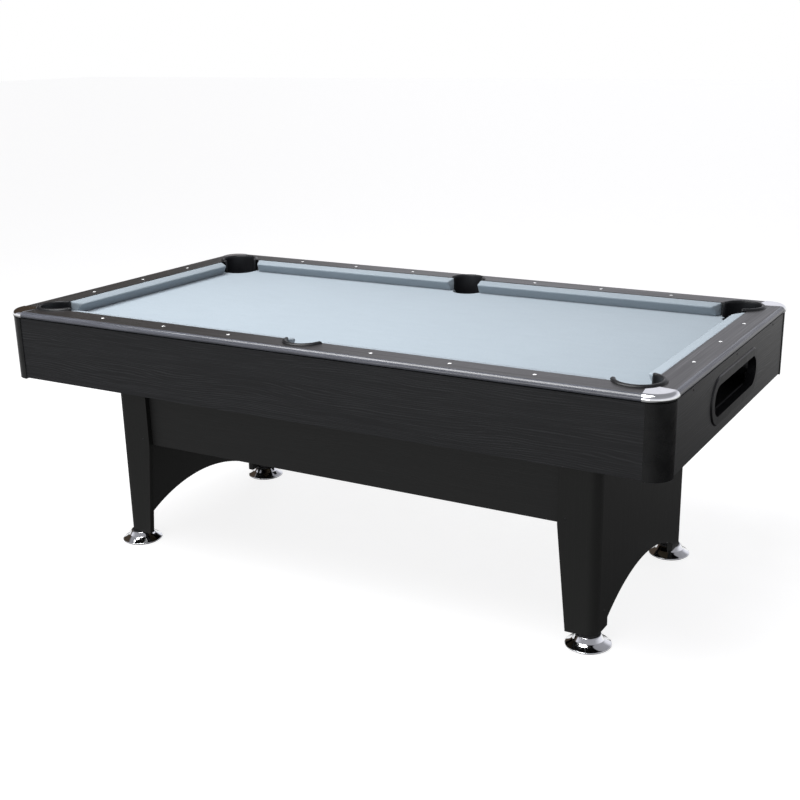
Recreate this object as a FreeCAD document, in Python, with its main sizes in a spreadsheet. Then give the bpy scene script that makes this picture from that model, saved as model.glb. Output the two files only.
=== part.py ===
"""Pool table with a ball return, two panelled legs and four screw levelling feet.

Millimetres. +Z is up, X runs along the table towards the ball-return window, Y runs across it.
The origin is on the floor under the middle of the table.
"""
import math
import os
import re

import FreeCAD
import Part
import Sketcher

# Driving dimensions: (alias, value, what it measures).
DIMENSIONS = [
    ("table_length", 2140, "overall length over the corner caps"),
    ("table_width", 1150, "overall width over the corner caps"),
    ("rail_top", 800, "height of the rail tops above the floor"),
    ("rail_width", 87, "table edge to the cushion line"),
    ("rail_thick", 18, "rail board"),
    ("roll_top", 12, "radius of the rolled outer edge, upper side"),
    ("roll_under", 5, "radius of the rolled outer edge, lower side"),
    ("corner_radius", 60, "plan radius of the table corners"),
    ("cap_thick", 1.5, "chromed corner cap"),
    ("cap_reach", 70, "how far a cap runs from the corner along each side"),
    ("cap_slant", 10, "how much longer the cap is at the pocket than at the edge"),
    ("core_setback", 25, "table edge to the rail's core block"),
    ("cushion_depth", 39, "rail to cushion nose"),
    ("cushion_step", 0.5, "rail top to the cushion's upper edge"),
    ("nose_drop", 10, "rail top to cushion nose"),
    ("nose_radius", 2, "half height of the flat at the nose"),
    ("cushion_undercut", 20, "nose to the cushion's foot, across"),
    ("corner_nose", 213, "table corner to the end of a cushion nose"),
    ("corner_heel", 193, "table corner to the end of a cushion at the rail"),
    ("side_nose", 56, "half the side mouth at the cushion nose"),
    ("side_heel", 51, "half the side mouth at the rail"),
    ("bed_drop", 41, "rail top to the cloth"),
    ("cloth_thick", 1, "bed cloth"),
    ("bed_thick", 18, "playfield board"),
    ("gap", 0.3, "clearance between pieces that are not pressed together"),
    ("close_gap", 0.1, "clearance between pieces that fit closely"),
    ("overshoot", 1, "how far a cutting shape passes the faces it cuts"),
    ("pocket_inset", 117, "corner pocket centre from both table edges"),
    ("pocket_bore", 56, "corner pocket, inside radius"),
    ("side_inset", 87, "side pocket centre from the table edge"),
    ("side_bore", 49, "side pocket, inside radius"),
    ("liner_wall", 3.5, "pocket liner"),
    ("collar_width", 9, "pocket collar, outside the liner wall"),
    ("collar_rise", 4, "pocket collar above the rail"),
    ("collar_edge", 1, "how far a collar's upright edges rise above the rail"),
    ("throat_radius", 42, "opening at the foot of a liner"),
    ("liner_drop", 100, "rail top to the foot of a liner"),
    ("collar_half_angle", 132, "half the arc of a corner collar, degrees"),
    ("side_half_angle", 90, "half the arc of a side collar, degrees"),
    ("sight_inset", 52, "rail sights from the table edge"),
    ("sight_pitch", 236, "between neighbouring sights"),
    ("sight_radius", 5, "rail sight"),
    ("sight_depth", 2, "how deep a sight is let into the rail"),
    ("sight_proud", 0.3, "how far a sight stands proud"),
    ("apron_setback", 5, "table edge to the apron face"),
    ("apron_thick", 15, "apron board"),
    ("apron_top", 780, "top of the aprons above the floor"),
    ("apron_bottom", 590, "bottom of the aprons above the floor"),
    ("post_radius", 57, "corner post, outside"),
    ("post_wall", 4, "corner post wall"),
    ("post_proud", 2, "corner post beyond the apron face"),
    ("post_drop", 4, "corner post below the aprons"),
    ("post_tab", 24, "tab behind the apron end"),
    ("window_height", 684, "middle of the window above the floor"),
    ("window_half", 160, "half the straight part of the window"),
    ("window_radius", 42.5, "rounded ends of the window"),
    ("bezel_wall", 3.5, "bezel sleeve through the apron"),
    ("bezel_flange", 21, "bezel flange beyond its sleeve"),
    ("bezel_proud", 4, "bezel in front of the apron"),
    ("bezel_slope", 3, "slope at the edge of the bezel"),
    ("bezel_depth", 20, "bezel sleeve behind the apron face"),
    ("box_start", 868, "inner end of the ball box, from the middle"),
    ("box_half", 550, "half the width of the ball box"),
    ("box_floor", 612, "floor of the ball box above the floor"),
    ("box_top", 668, "rim of the ball box"),
    ("box_wall", 6, "ball box board"),
    ("gully_start", 1025, "closed end of a gully, from the middle"),
    ("gully_high", 645, "gully floor at its closed end"),
    ("gully_low", 622, "gully floor at the ball box"),
    ("gully_inner", 415, "inner side of a gully's channel"),
    ("gully_outer", 533, "outer side of a gully's channel"),
    ("gully_wall", 3, "gully plastic"),
    ("gully_rim", 32, "height of a gully's sides"),
    ("beam_bottom", 700, "underside of the bed frame"),
    ("frame_inner", 390, "inner face of a bed frame rail"),
    ("frame_thick", 18, "bed frame boards"),
    ("beam_offset", 866, "inner face of an end beam, from the middle"),
    ("leg_outer_x", 830, "outer face of a leg end panel"),
    ("leg_outer_y", 371, "outer face of a leg side"),
    ("leg_board", 18, "leg boards"),
    ("leg_corner", 30, "rounded vertical leg corner"),
    ("leg_bottom", 37, "leg boards above the floor"),
    ("leg_inner_top", 711, "inner edge of a leg side above the taper"),
    ("leg_inner_foot", 740, "inner edge of a leg side at its foot"),
    ("taper_start", 347, "height where the taper begins, and bottom of the stretchers"),
    ("arch_half", 282, "half the arch at its foot"),
    ("arch_spring", 62, "height where the arch begins"),
    ("arch_radius", 595, "arch in the end panels"),
    ("block_side", 30, "corner block in a leg"),
    ("block_top", 140, "top of a corner block"),
    ("foot_x", 800, "foot centre along the table"),
    ("foot_y", 345, "foot centre across the table"),
    ("foot_radius", 64.5, "chromed foot, outside"),
    ("foot_lip", 3.5, "height of the foot's lip"),
    ("foot_edge", 1.5, "slope at the bottom edge of the foot"),
    ("lip_step", 3, "from the foot's lip in to the cone"),
    ("lip_rise", 2, "from the foot's lip up to the cone"),
    ("neck_radius", 43.5, "foot neck at the cone"),
    ("neck_top_radius", 34.5, "foot neck at the top"),
    ("neck_start", 20, "height of the neck's lower edge"),
    ("neck_top", 34.7, "height of the neck's top"),
    ("foot_bevel", 1, "small bevels on the neck, the stud and the pad"),
    ("hub_radius", 31, "round hub under each leg"),
    ("hub_bottom", 35, "underside of a hub"),
    ("stud_radius", 5, "levelling stud"),
    ("stud_top", 98, "top of the levelling stud"),
    ("stud_play", 0.05, "radial play of the stud in its insert"),
    ("insert_radius", 7, "threaded insert, outside"),
    ("insert_length", 25, "threaded insert"),
    ("pad_radius", 60, "rubber pad under a foot"),
    ("pad_thick", 2.4, "rubber pad under a foot"),
    ("pin_radius", 6, "pad's centre pin"),
    ("pin_top", 14, "top of the pad's centre pin"),
    ("screw_head", 3.5, "panel screw head radius"),
    ("screw_proud", 0.8, "panel screw head thickness"),
    ("screw_shank", 1.8, "panel screw shank radius"),
    ("screw_length", 14, "panel screw below its head"),
    ("end_screw_y", 384, "outer apron screws from the middle"),
    ("end_screw_z", 771, "apron screws above the floor"),
    ("side_screw_x", 734, "leg side screw from the middle"),
    ("side_screw_z", 368, "leg side screw above the floor"),
    ("panel_screw_y", 310, "end panel screw from the middle"),
    ("panel_screw_z", 92, "end panel screw above the floor"),
    ("bolt_radius", 4, "rail bolt"),
    ("bolt_head", 8, "rail bolt head radius"),
    ("bolt_head_thick", 5, "rail bolt head"),
    ("bolt_top", 791, "top of the rail bolts"),
    ("bolt_inset", 48, "rail bolts from the table edge"),
    ("bolt_near", 250, "inner rail bolts from the middle"),
    ("bolt_far", 700, "outer rail bolts from the middle"),
    ("bracket_leg", 45, "angle bracket legs"),
    ("bracket_thick", 2.5, "angle bracket sheet"),
    ("bracket_width", 30, "angle bracket width"),
    ("bracket_pitch", 500, "between the angles under the bed"),
    ("strap_thick", 2, "gully strap sheet"),
    ("strap_width", 25, "gully strap width"),
    ("strap_near", 250, "inner gully straps from the middle"),
    ("strap_far", 760, "outer gully straps from the middle"),
]
ALIASES = {alias for alias, _, _ in DIMENSIONS}

# Places that follow from the driving dimensions.
EDGE_X = "(table_length / 2)"
EDGE_Y = "(table_width / 2)"
RAIL_BOTTOM = "(rail_top - rail_thick)"
CLOTH_TOP = "(rail_top - bed_drop)"
BED_TOP = "(rail_top - bed_drop - cloth_thick)"
BED_BOTTOM = "(rail_top - bed_drop - cloth_thick - bed_thick)"
APRON_X = "(table_length / 2 - apron_setback)"
APRON_Y = "(table_width / 2 - apron_setback)"
POST_X = "(table_length / 2 - apron_setback + post_proud - post_radius)"
POST_Y = "(table_width / 2 - apron_setback + post_proud - post_radius)"
CORNER_X = "(table_length / 2 - pocket_inset)"
CORNER_Y = "(table_width / 2 - pocket_inset)"
SIDE_Y = "(table_width / 2 - side_inset)"

X_AXIS = FreeCAD.Vector(1, 0, 0)
Y_AXIS = FreeCAD.Vector(0, 1, 0)
Z_AXIS = FreeCAD.Vector(0, 0, 1)
START, END, CENTRE = 1, 2, 3
ORIGIN = -1
SAME_LEVEL = 1e-6
SIDES = ((-1, "left"), (1, "right"))
ROWS = ((-1, "front"), (1, "back"))

doc = FreeCAD.newDocument("PoolTable")
sheet = doc.addObject("Spreadsheet::Sheet", "Dims")
parts = []


def fill_sheet():
    """One row per driving dimension: its name, its value and what it measures."""
    for row, (alias, number, meaning) in enumerate(DIMENSIONS, start=1):
        sheet.set(f"A{row}", alias)
        sheet.set(f"B{row}", str(number))
        sheet.set(f"C{row}", meaning)
        sheet.setAlias(f"B{row}", alias)
    doc.recompute()


def formula(text):
    """The text with every alias pointed at the sheet."""
    return re.sub("[a-z_]+", lambda word: "Dims." + word[0] if word[0] in ALIASES else word[0], text)


def value(text):
    """A formula's value now."""
    return float(sheet.evalExpression(formula(text)))


def bind(thing, **sizes):
    """Bind properties to formulas. A double underscore stands for the dot in a property's path."""
    for name, text in sizes.items():
        thing.setExpression(name.replace("__", "."), formula(text))


def place(thing, x="0", y="0", z="0"):
    """Bind a thing's position."""
    bind(thing, Placement__Base__x=x, Placement__Base__y=y, Placement__Base__z=z)


def keep(thing, label):
    """Make a thing one of the table's parts, under its own label."""
    thing.Label = label
    parts.append(thing)
    return thing


# Sketches and the features made from them.

def new_body(name):
    return doc.addObject("PartDesign::Body", name)


def new_sketch(body, name, plane, level="0"):
    """An empty sketch on one of the body's own planes, moved along that plane's normal."""
    drawing = body.newObject("Sketcher::SketchObject", name)
    support = next(item for item in body.Origin.OriginFeatures if item.Role == plane)
    drawing.AttachmentSupport = [(support, "")]
    drawing.MapMode = "FlatFace"
    bind(drawing, AttachmentOffset__Base__z=level)
    return drawing


def fix_point(drawing, edge, end, x, y):
    """Tie one end of an edge to the sketch's origin by two bound distances."""
    for kind, text in (("DistanceX", x), ("DistanceY", y)):
        index = drawing.addConstraint(Sketcher.Constraint(kind, ORIGIN, START, edge, end, value(text)))
        drawing.setExpression(f"Constraints[{index}]", formula(text))


def arc_edge(first, last, radius, turn):
    """The shorter arc from first to last: turn is 1 anticlockwise, -1 clockwise."""
    middle = (first + last) * 0.5
    chord = last - first
    rise = max(radius ** 2 - (chord.Length / 2) ** 2, 0) ** 0.5
    side = Z_AXIS.cross(chord).normalize()
    centre = middle + side * rise * turn
    outward = (middle - centre).normalize() if rise > 0 else side * -turn
    return Part.Arc(first, centre + outward * radius, last)


def draw_outline(drawing, outline):
    """A closed outline. A corner is (x, y), or (x, y, radius, turn) where an arc leaves it."""
    corners = [FreeCAD.Vector(value(corner[0]), value(corner[1]), 0) for corner in outline]
    ends = []
    for index, corner in enumerate(outline):
        first, last = corners[index], corners[(index + 1) % len(corners)]
        if len(corner) == 2:
            edge = drawing.addGeometry(Part.LineSegment(first, last), False)
            ends.append((edge, START, END))
            continue
        radius, turn = corner[2], corner[3]
        edge = drawing.addGeometry(arc_edge(first, last, value(radius), turn), False)
        bound = drawing.addConstraint(Sketcher.Constraint("Radius", edge, value(radius)))
        drawing.setExpression(f"Constraints[{bound}]", formula(radius))
        ends.append((edge, START, END) if turn > 0 else (edge, END, START))
    for index, (edge, begin, finish) in enumerate(ends):
        following, next_begin, _ = ends[(index + 1) % len(ends)]
        drawing.addConstraint(Sketcher.Constraint("Coincident", edge, finish, following, next_begin))
        fix_point(drawing, edge, begin, outline[index][0], outline[index][1])


def draw_circle(drawing, x, y, radius):
    centre = FreeCAD.Vector(value(x), value(y), 0)
    edge = drawing.addGeometry(Part.Circle(centre, Z_AXIS, value(radius)), False)
    fix_point(drawing, edge, CENTRE, x, y)
    bound = drawing.addConstraint(Sketcher.Constraint("Radius", edge, value(radius)))
    drawing.setExpression(f"Constraints[{bound}]", formula(radius))


def outline_sketch(body, name, plane, outline, level="0"):
    drawing = new_sketch(body, name, plane, level)
    draw_outline(drawing, outline)
    return drawing


def circle_sketch(body, name, plane, circles, level="0"):
    drawing = new_sketch(body, name, plane, level)
    for x, y, radius in circles:
        draw_circle(drawing, x, y, radius)
    return drawing


def pad(body, drawing, length, both_ways=False):
    """Thicken a sketch along its plane's normal, or half each way."""
    feature = body.newObject("PartDesign::Pad", drawing.Name + "Pad")
    feature.Profile = drawing
    feature.Midplane = both_ways
    bind(feature, Length=length)
    doc.recompute()
    return feature


def pocket(body, drawing, length, both_ways=False, along_normal=False):
    """Cut a sketch away against its plane's normal, or along it; the solid has to lose volume."""
    before = body.Shape.Volume
    feature = body.newObject("PartDesign::Pocket", drawing.Name + "Pocket")
    feature.Profile = drawing
    feature.Midplane = both_ways
    feature.Reversed = along_normal
    bind(feature, Length=length)
    doc.recompute()
    if body.Shape.Volume >= before:
        raise RuntimeError(drawing.Name + " cuts nothing")
    return feature


def revolve(body, drawing, angle="360", both_ways=False):
    """Turn a sketch on the XZ plane about the body's own Z axis."""
    feature = body.newObject("PartDesign::Revolution", drawing.Name + "Revolution")
    feature.Profile = drawing
    feature.ReferenceAxis = (drawing, ["V_Axis"])
    feature.Midplane = both_ways
    bind(feature, Angle=angle)
    doc.recompute()
    return feature


def level_edges(shape, height):
    """Names of the edges that lie at one height."""
    found = []
    for index, edge in enumerate(shape.Edges, start=1):
        box = edge.BoundBox
        if abs(box.ZMin - height) < SAME_LEVEL and abs(box.ZMax - height) < SAME_LEVEL:
            found.append(f"Edge{index}")
    return found


def round_level(body, feature, height, radius):
    """Round the edges of a feature that lie at one height."""
    rounded = body.newObject("PartDesign::Fillet", feature.Name + "Round")
    rounded.Base = (feature, level_edges(feature.Shape, value(height)))
    bind(rounded, Radius=radius)
    doc.recompute()
    return rounded


# Primitives and booleans.

def box(name, x, y, z):
    """A box between bound pairs of limits."""
    thing = doc.addObject("Part::Box", name)
    bind(
        thing,
        Length=f"({x[1]}) - ({x[0]})",
        Width=f"({y[1]}) - ({y[0]})",
        Height=f"({z[1]}) - ({z[0]})",
    )
    place(thing, x[0], y[0], z[0])
    return thing


def cylinder(name, radius, height, x, y, z, axis=Z_AXIS):
    """A cylinder that starts at a point and runs along an axis."""
    thing = doc.addObject("Part::Cylinder", name)
    thing.Placement.Rotation = FreeCAD.Rotation(Z_AXIS, axis)
    bind(thing, Radius=radius, Height=height)
    place(thing, x, y, z)
    return thing


def cut(name, base, *tools):
    """A base less one or more tools."""
    thing = doc.addObject("Part::Cut", name)
    thing.Base = base
    thing.Tool = tools[0] if len(tools) == 1 else joined(name + "Tools", tools)
    return thing


def common(name, first, second):
    thing = doc.addObject("Part::Common", name)
    thing.Base = first
    thing.Tool = second
    return thing


def joined(name, things):
    thing = doc.addObject("Part::MultiFuse", name)
    thing.Shapes = list(things)
    return thing


def group(name, things):
    """Separate solids kept as one part."""
    thing = doc.addObject("Part::Compound", name)
    thing.Links = list(things)
    return thing


def mirrored(name, source, normal):
    """The source mirrored in the plane through the origin with this normal."""
    thing = doc.addObject("Part::Mirroring", name)
    thing.Source = source
    thing.Normal = normal
    return thing


def signed(sign, text):
    return text if sign > 0 else f"-({text})"


def span(sign, low, high):
    """Limits of a piece on one side of the middle, lowest first."""
    return (low, high) if sign > 0 else (f"-({high})", f"-({low})")


# Rails, caps and sights.

def rounded_plate(body, name, grow, low, thick):
    """A plate in the table's plan, grown past the rails, with rolled outer edges."""
    x, y = f"({EDGE_X} - cap_thick + {grow})", f"({EDGE_Y} - cap_thick + {grow})"
    r = f"corner_radius + {grow}"
    outline = [
        (f"-{x} + {r}", f"-{y}"),
        (f"{x} - ({r})", f"-{y}", r, 1),
        (x, f"-{y} + {r}"),
        (x, f"{y} - ({r})", r, 1),
        (f"{x} - ({r})", y),
        (f"-{x} + {r}", y, r, 1),
        (f"-{x}", f"{y} - ({r})"),
        (f"-{x}", f"-{y} + {r}", r, 1),
    ]
    plate = pad(body, outline_sketch(body, name, "XY_Plane", outline, low), thick)
    upper = round_level(body, plate, f"({low}) + ({thick})", f"roll_top + {grow}")
    return round_level(body, upper, low, f"roll_under + {grow}")


def rectangle(x, y):
    """A rectangle about the origin, given by its half sizes."""
    return [(f"-{x}", f"-{y}"), (x, f"-{y}"), (x, y), (f"-{x}", y)]


def pocket_circles(extra):
    """The six pockets in plan, each this much larger than its liner."""
    corner, side = f"pocket_bore + liner_wall + {extra}", f"side_bore + liner_wall + {extra}"
    circles = [(signed(sx, CORNER_X), signed(sy, CORNER_Y), corner) for sx in (-1, 1) for sy in (-1, 1)]
    return circles + [("0", signed(sy, SIDE_Y), side) for sy in (-1, 1)]


def sight_places():
    """Plan positions of the eighteen rail sights."""
    along = [signed(sign, f"sight_pitch * {count}") for sign in (-1, 1) for count in (1, 2, 3)]
    across = [f"sight_pitch * {count}" for count in (-1, 0, 1)]
    places = [(x, signed(sy, f"({EDGE_Y} - sight_inset)")) for sy in (-1, 1) for x in along]
    return places + [(signed(sx, f"({EDGE_X} - sight_inset)"), y) for sx in (-1, 1) for y in across]


def bolt_places():
    """Plan positions of the bolts that hold the rails to the bed."""
    along = [signed(sign, name) for sign in (-1, 1) for name in ("bolt_near", "bolt_far")]
    places = [(x, signed(sy, f"({EDGE_Y} - bolt_inset)")) for sy in (-1, 1) for x in along]
    across = [signed(sign, "bolt_near") for sign in (-1, 1)]
    return places + [(signed(sx, f"({EDGE_X} - bolt_inset)"), y) for sx in (-1, 1) for y in across]


def make_rail_ring():
    """All four rails in one ring: rolled board, core block, pocket holes and sight seats."""
    body = new_body("RailRing")
    rounded_plate(body, "RailPlate", "0", RAIL_BOTTOM, "rail_thick")
    inner_x, inner_y = f"({EDGE_X} - rail_width)", f"({EDGE_Y} - rail_width)"
    opening = outline_sketch(body, "RailOpening", "XY_Plane", rectangle(inner_x, inner_y), "rail_top")
    pocket(body, opening, "rail_thick * 2")
    core = new_sketch(body, "RailCore", "XY_Plane", BED_TOP)
    draw_outline(core, rectangle(f"({EDGE_X} - core_setback)", f"({EDGE_Y} - core_setback)"))
    draw_outline(core, rectangle(inner_x, inner_y))
    pad(body, core, f"{RAIL_BOTTOM} - {BED_TOP}")
    above = "rail_top + overshoot"
    holes = circle_sketch(body, "RailPockets", "XY_Plane", pocket_circles("close_gap"), above)
    pocket(body, holes, "bed_drop * 2")
    seats = [(x, y, "sight_radius") for x, y in sight_places()]
    pocket(body, circle_sketch(body, "SightSeats", "XY_Plane", seats, "rail_top"), "sight_depth")
    bores = [(x, y, "bolt_radius") for x, y in bolt_places()]
    drilled = circle_sketch(body, "RailBores", "XY_Plane", bores, "bolt_top")
    pocket(body, drilled, f"bolt_top - {BED_TOP} + overshoot")
    return body


def make_rails():
    """The ring, mitred at the corners into four rails."""
    ring = make_rail_ring()
    reach = "rail_width"
    outlines = {
        "front": [
            (f"-{EDGE_X}", f"-{EDGE_Y}"), (EDGE_X, f"-{EDGE_Y}"),
            (f"{EDGE_X} - {reach}", f"-{EDGE_Y} + {reach}"),
            (f"-{EDGE_X} + {reach}", f"-{EDGE_Y} + {reach}"),
        ],
        "right_end": [
            (EDGE_X, f"-{EDGE_Y}"), (EDGE_X, EDGE_Y),
            (f"{EDGE_X} - {reach}", f"{EDGE_Y} - {reach}"), (f"{EDGE_X} - {reach}", f"-{EDGE_Y} + {reach}"),
        ],
    }
    rails = {}
    height = f"rail_top - {BED_TOP} + overshoot"
    for name, outline in outlines.items():
        wedge = new_body("Mitre" + name)
        pad(wedge, outline_sketch(wedge, "MitrePlan" + name, "XY_Plane", outline, BED_TOP), height)
        rails[name] = keep(common("Rail" + name, ring, wedge), "rail_" + name)
    keep(mirrored("RailBack", rails["front"], Y_AXIS), "rail_back")
    keep(mirrored("RailLeftEnd", rails["right_end"], X_AXIS), "rail_left_end")


def make_caps():
    """Chromed shells over the rolled corners, each ending at its pocket's collar."""
    outside, inside = new_body("CapOutside"), new_body("CapInside")
    low = f"({RAIL_BOTTOM} - cap_thick)"
    rounded_plate(outside, "CapPlate", "cap_thick", low, "rail_thick + cap_thick * 2")
    rounded_plate(inside, "CapCore", "0", RAIL_BOTTOM, "rail_thick")
    near, far, inner = "cap_reach", "(cap_reach + cap_slant)", "(cap_reach - cap_slant)"
    outline = [
        (f"{EDGE_X} - {near}", f"-{EDGE_Y} - overshoot"), (f"{EDGE_X} + overshoot", f"-{EDGE_Y} - overshoot"),
        (f"{EDGE_X} + overshoot", f"-{EDGE_Y} + {near}"), (f"{EDGE_X} - {inner}", f"-{EDGE_Y} + {far}"),
        (f"{EDGE_X} - {far}", f"-{EDGE_Y} + {inner}"),
    ]
    region = new_body("CapRegion")
    start = f"{low} - overshoot"
    pad(region, outline_sketch(region, "CapPlan", "XY_Plane", outline, start), "rail_thick * 2")
    collar = cylinder(
        "CapCollarRoom", "pocket_bore + liner_wall + collar_width + gap", "rail_thick * 3",
        CORNER_X, f"-{CORNER_Y}", f"{low} - rail_thick",
    )
    lip = "(apron_setback + roll_under)"
    under = box(
        "CapUnderRoom", (f"{EDGE_X} - cap_reach * 2", f"{EDGE_X} - {lip}"),
        (f"-{EDGE_Y} + {lip}", f"-{EDGE_Y} + cap_reach * 2"), (start, RAIL_BOTTOM),
    )
    shell = cut("CapShell", common("CapPiece", outside, region), inside, collar, under)
    right = keep(shell, "corner_cap_front_right")
    left = keep(mirrored("CapFrontLeft", right, X_AXIS), "corner_cap_front_left")
    keep(mirrored("CapBackRight", right, Y_AXIS), "corner_cap_back_right")
    keep(mirrored("CapBackLeft", left, Y_AXIS), "corner_cap_back_left")


def make_sights():
    """Small round markers let into the rails, three to each section."""
    height = "sight_depth + sight_proud"
    discs = [
        cylinder(f"Sight{index}", "sight_radius", height, x, y, "rail_top - sight_depth")
        for index, (x, y) in enumerate(sight_places(), start=1)
    ]
    keep(group("Sights", discs), "rail_sights")


# Bed, cloth and cushions.

def bed_notches():
    """Cut-outs that open the bed's pocket holes to its edges: four at the corners, two at the sides."""
    turned = "(pocket_bore + liner_wall + close_gap) * sqrt(2) / 2"
    corner = [
        (f"{CORNER_X} - {turned}", f"{CORNER_Y} + {turned}"),
        (f"{CORNER_X} - {turned} + pocket_inset", f"{CORNER_Y} + {turned} + pocket_inset"),
        (f"{CORNER_X} + {turned} + pocket_inset", f"{CORNER_Y} - {turned} + pocket_inset"),
        (f"{CORNER_X} + {turned}", f"{CORNER_Y} - {turned}"),
    ]
    half = "(side_bore + liner_wall + close_gap)"
    side = [(f"-{half}", SIDE_Y), (half, SIDE_Y), (half, EDGE_Y), (f"-{half}", EDGE_Y)]
    notches = [[(signed(sx, x), signed(sy, y)) for x, y in corner] for sx in (-1, 1) for sy in (-1, 1)]
    return notches + [[(x, signed(sy, y)) for x, y in side] for sy in (-1, 1)]


def make_bed():
    """The playfield board inside the aprons, with its pocket cut-outs and bolt holes."""
    body = new_body("Bed")
    inset = "apron_thick + post_wall + gap * 2"
    plan = rectangle(f"({APRON_X} - ({inset}))", f"({APRON_Y} - ({inset}))")
    pad(body, outline_sketch(body, "BedPlan", "XY_Plane", plan, BED_BOTTOM), "bed_thick")
    holes = circle_sketch(body, "BedPockets", "XY_Plane", pocket_circles("close_gap"), BED_TOP)
    pocket(body, holes, "bed_thick * 2")
    notches = new_sketch(body, "BedNotches", "XY_Plane", BED_TOP)
    for outline in bed_notches():
        draw_outline(notches, outline)
    pocket(body, notches, "bed_thick * 2")
    bores = [(x, y, "bolt_radius") for x, y in bolt_places()]
    pocket(body, circle_sketch(body, "BedBores", "XY_Plane", bores, BED_TOP), "bed_thick * 2")
    keep(body, "playfield_bed")


def make_cloth():
    """The bed cloth, cut back at the pockets."""
    body = new_body("Cloth")
    plan = rectangle(f"({EDGE_X} - rail_width)", f"({EDGE_Y} - rail_width)")
    pad(body, outline_sketch(body, "ClothPlan", "XY_Plane", plan, BED_TOP), "cloth_thick")
    holes = circle_sketch(body, "ClothPockets", "XY_Plane", pocket_circles("close_gap"), CLOTH_TOP)
    pocket(body, holes, "cloth_thick * 3")
    keep(body, "bed_cloth")


def cushion_waste(edge):
    """What is cut from a cushion block in section: above its slope and below its nose."""
    heel, nose = f"{edge} - rail_width", f"{edge} - rail_width - cushion_depth"
    nose_height = "rail_top - nose_drop"
    foot = f"-({nose} + cushion_undercut)"
    return [
        (f"-({heel})", "rail_top - cushion_step"),
        (f"-({nose} + nose_radius)", f"{nose_height} + nose_radius"),
        (f"-({nose})", nose_height), (f"-({nose} + nose_radius)", f"{nose_height} - nose_radius * 2"),
        (foot, f"{CLOTH_TOP} + gap"), (foot, f"{CLOTH_TOP} - overshoot"),
        (f"-({nose} - overshoot)", f"{CLOTH_TOP} - overshoot"),
        (f"-({nose} - overshoot)", "rail_top + overshoot"), (f"-({heel})", "rail_top + overshoot"),
    ]


def make_cushions():
    """Rubber cushions in their cloth, undercut below the nose and cut back at the pockets."""
    nose_y, heel_y = f"-({EDGE_Y} - rail_width - cushion_depth)", f"-({EDGE_Y} - rail_width)"
    body = new_body("CushionFront")
    outline = [
        ("side_heel", heel_y), (f"{EDGE_X} - corner_heel", heel_y),
        (f"{EDGE_X} - corner_nose", nose_y), ("side_nose", nose_y),
    ]
    height = f"rail_top - {CLOTH_TOP} - gap"
    pad(body, outline_sketch(body, "CushionPlan", "XY_Plane", outline, f"{CLOTH_TOP} + gap"), height)
    waste = outline_sketch(body, "CushionWaste", "YZ_Plane", cushion_waste(EDGE_Y))
    pocket(body, waste, "table_length * 2", both_ways=True)
    right = keep(body, "cushion_front_right")
    left = keep(mirrored("CushionFrontLeft", right, X_AXIS), "cushion_front_left")
    keep(mirrored("CushionBackRight", right, Y_AXIS), "cushion_back_right")
    keep(mirrored("CushionBackLeft", left, Y_AXIS), "cushion_back_left")

    nose_x, heel_x = f"-({EDGE_X} - rail_width - cushion_depth)", f"-({EDGE_X} - rail_width)"
    body = new_body("CushionEnd")
    outline = [
        (heel_x, f"-({EDGE_Y} - corner_heel)"), (nose_x, f"-({EDGE_Y} - corner_nose)"),
        (nose_x, f"{EDGE_Y} - corner_nose"), (heel_x, f"{EDGE_Y} - corner_heel"),
    ]
    pad(body, outline_sketch(body, "CushionEndPlan", "XY_Plane", outline, f"{CLOTH_TOP} + gap"), height)
    waste = outline_sketch(body, "CushionEndWaste", "XZ_Plane", cushion_waste(EDGE_X))
    pocket(body, waste, "table_width * 2", both_ways=True)
    left_end = keep(body, "cushion_left_end")
    keep(mirrored("CushionRightEnd", left_end, X_AXIS), "cushion_right_end")


# Pockets.

def make_liner(label, x, y, heading, bore, half_angle):
    """A moulded pocket liner: funnel below the bed, wall and raised collar round the rail side."""
    body = new_body("Liner")
    wall = f"{bore} + liner_wall"
    foot = "rail_top - liner_drop"
    funnel = [
        ("throat_radius", foot), ("throat_radius + liner_wall", foot),
        (wall, BED_BOTTOM), (wall, BED_TOP), (bore, BED_TOP), (bore, BED_BOTTOM),
    ]
    revolve(body, outline_sketch(body, "Funnel", "XZ_Plane", funnel))
    rim = f"{wall} + collar_width"
    collar = [
        (bore, BED_TOP), (wall, BED_TOP), (wall, "rail_top"), (rim, "rail_top"),
        (rim, "rail_top + collar_edge"), (f"{rim} - collar_rise", "rail_top + collar_rise"),
        (f"{bore} + collar_edge", "rail_top + collar_rise"), (bore, "rail_top + collar_edge"),
    ]
    revolve(body, outline_sketch(body, "Collar", "XZ_Plane", collar), f"{half_angle} * 2", both_ways=True)
    body.Placement.Rotation = FreeCAD.Rotation(Z_AXIS, heading)
    place(body, x, y)
    keep(body, label)


def make_liners():
    """Four corner liners that face the middle of the table diagonally, and two at the sides."""
    for sx, side in SIDES:
        for sy, row in ROWS:
            heading = math.degrees(math.atan2(sy, sx))
            label = f"pocket_liner_{row}_{side}"
            x, y = signed(sx, CORNER_X), signed(sy, CORNER_Y)
            make_liner(label, x, y, heading, "pocket_bore", "collar_half_angle")
    for sy, row in ROWS:
        label = f"pocket_liner_{row}_side"
        heading = math.degrees(math.atan2(sy, 0))
        make_liner(label, "0", signed(sy, SIDE_Y), heading, "side_bore", "side_half_angle")


# Cabinet: aprons, posts, window and ball return.

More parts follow.
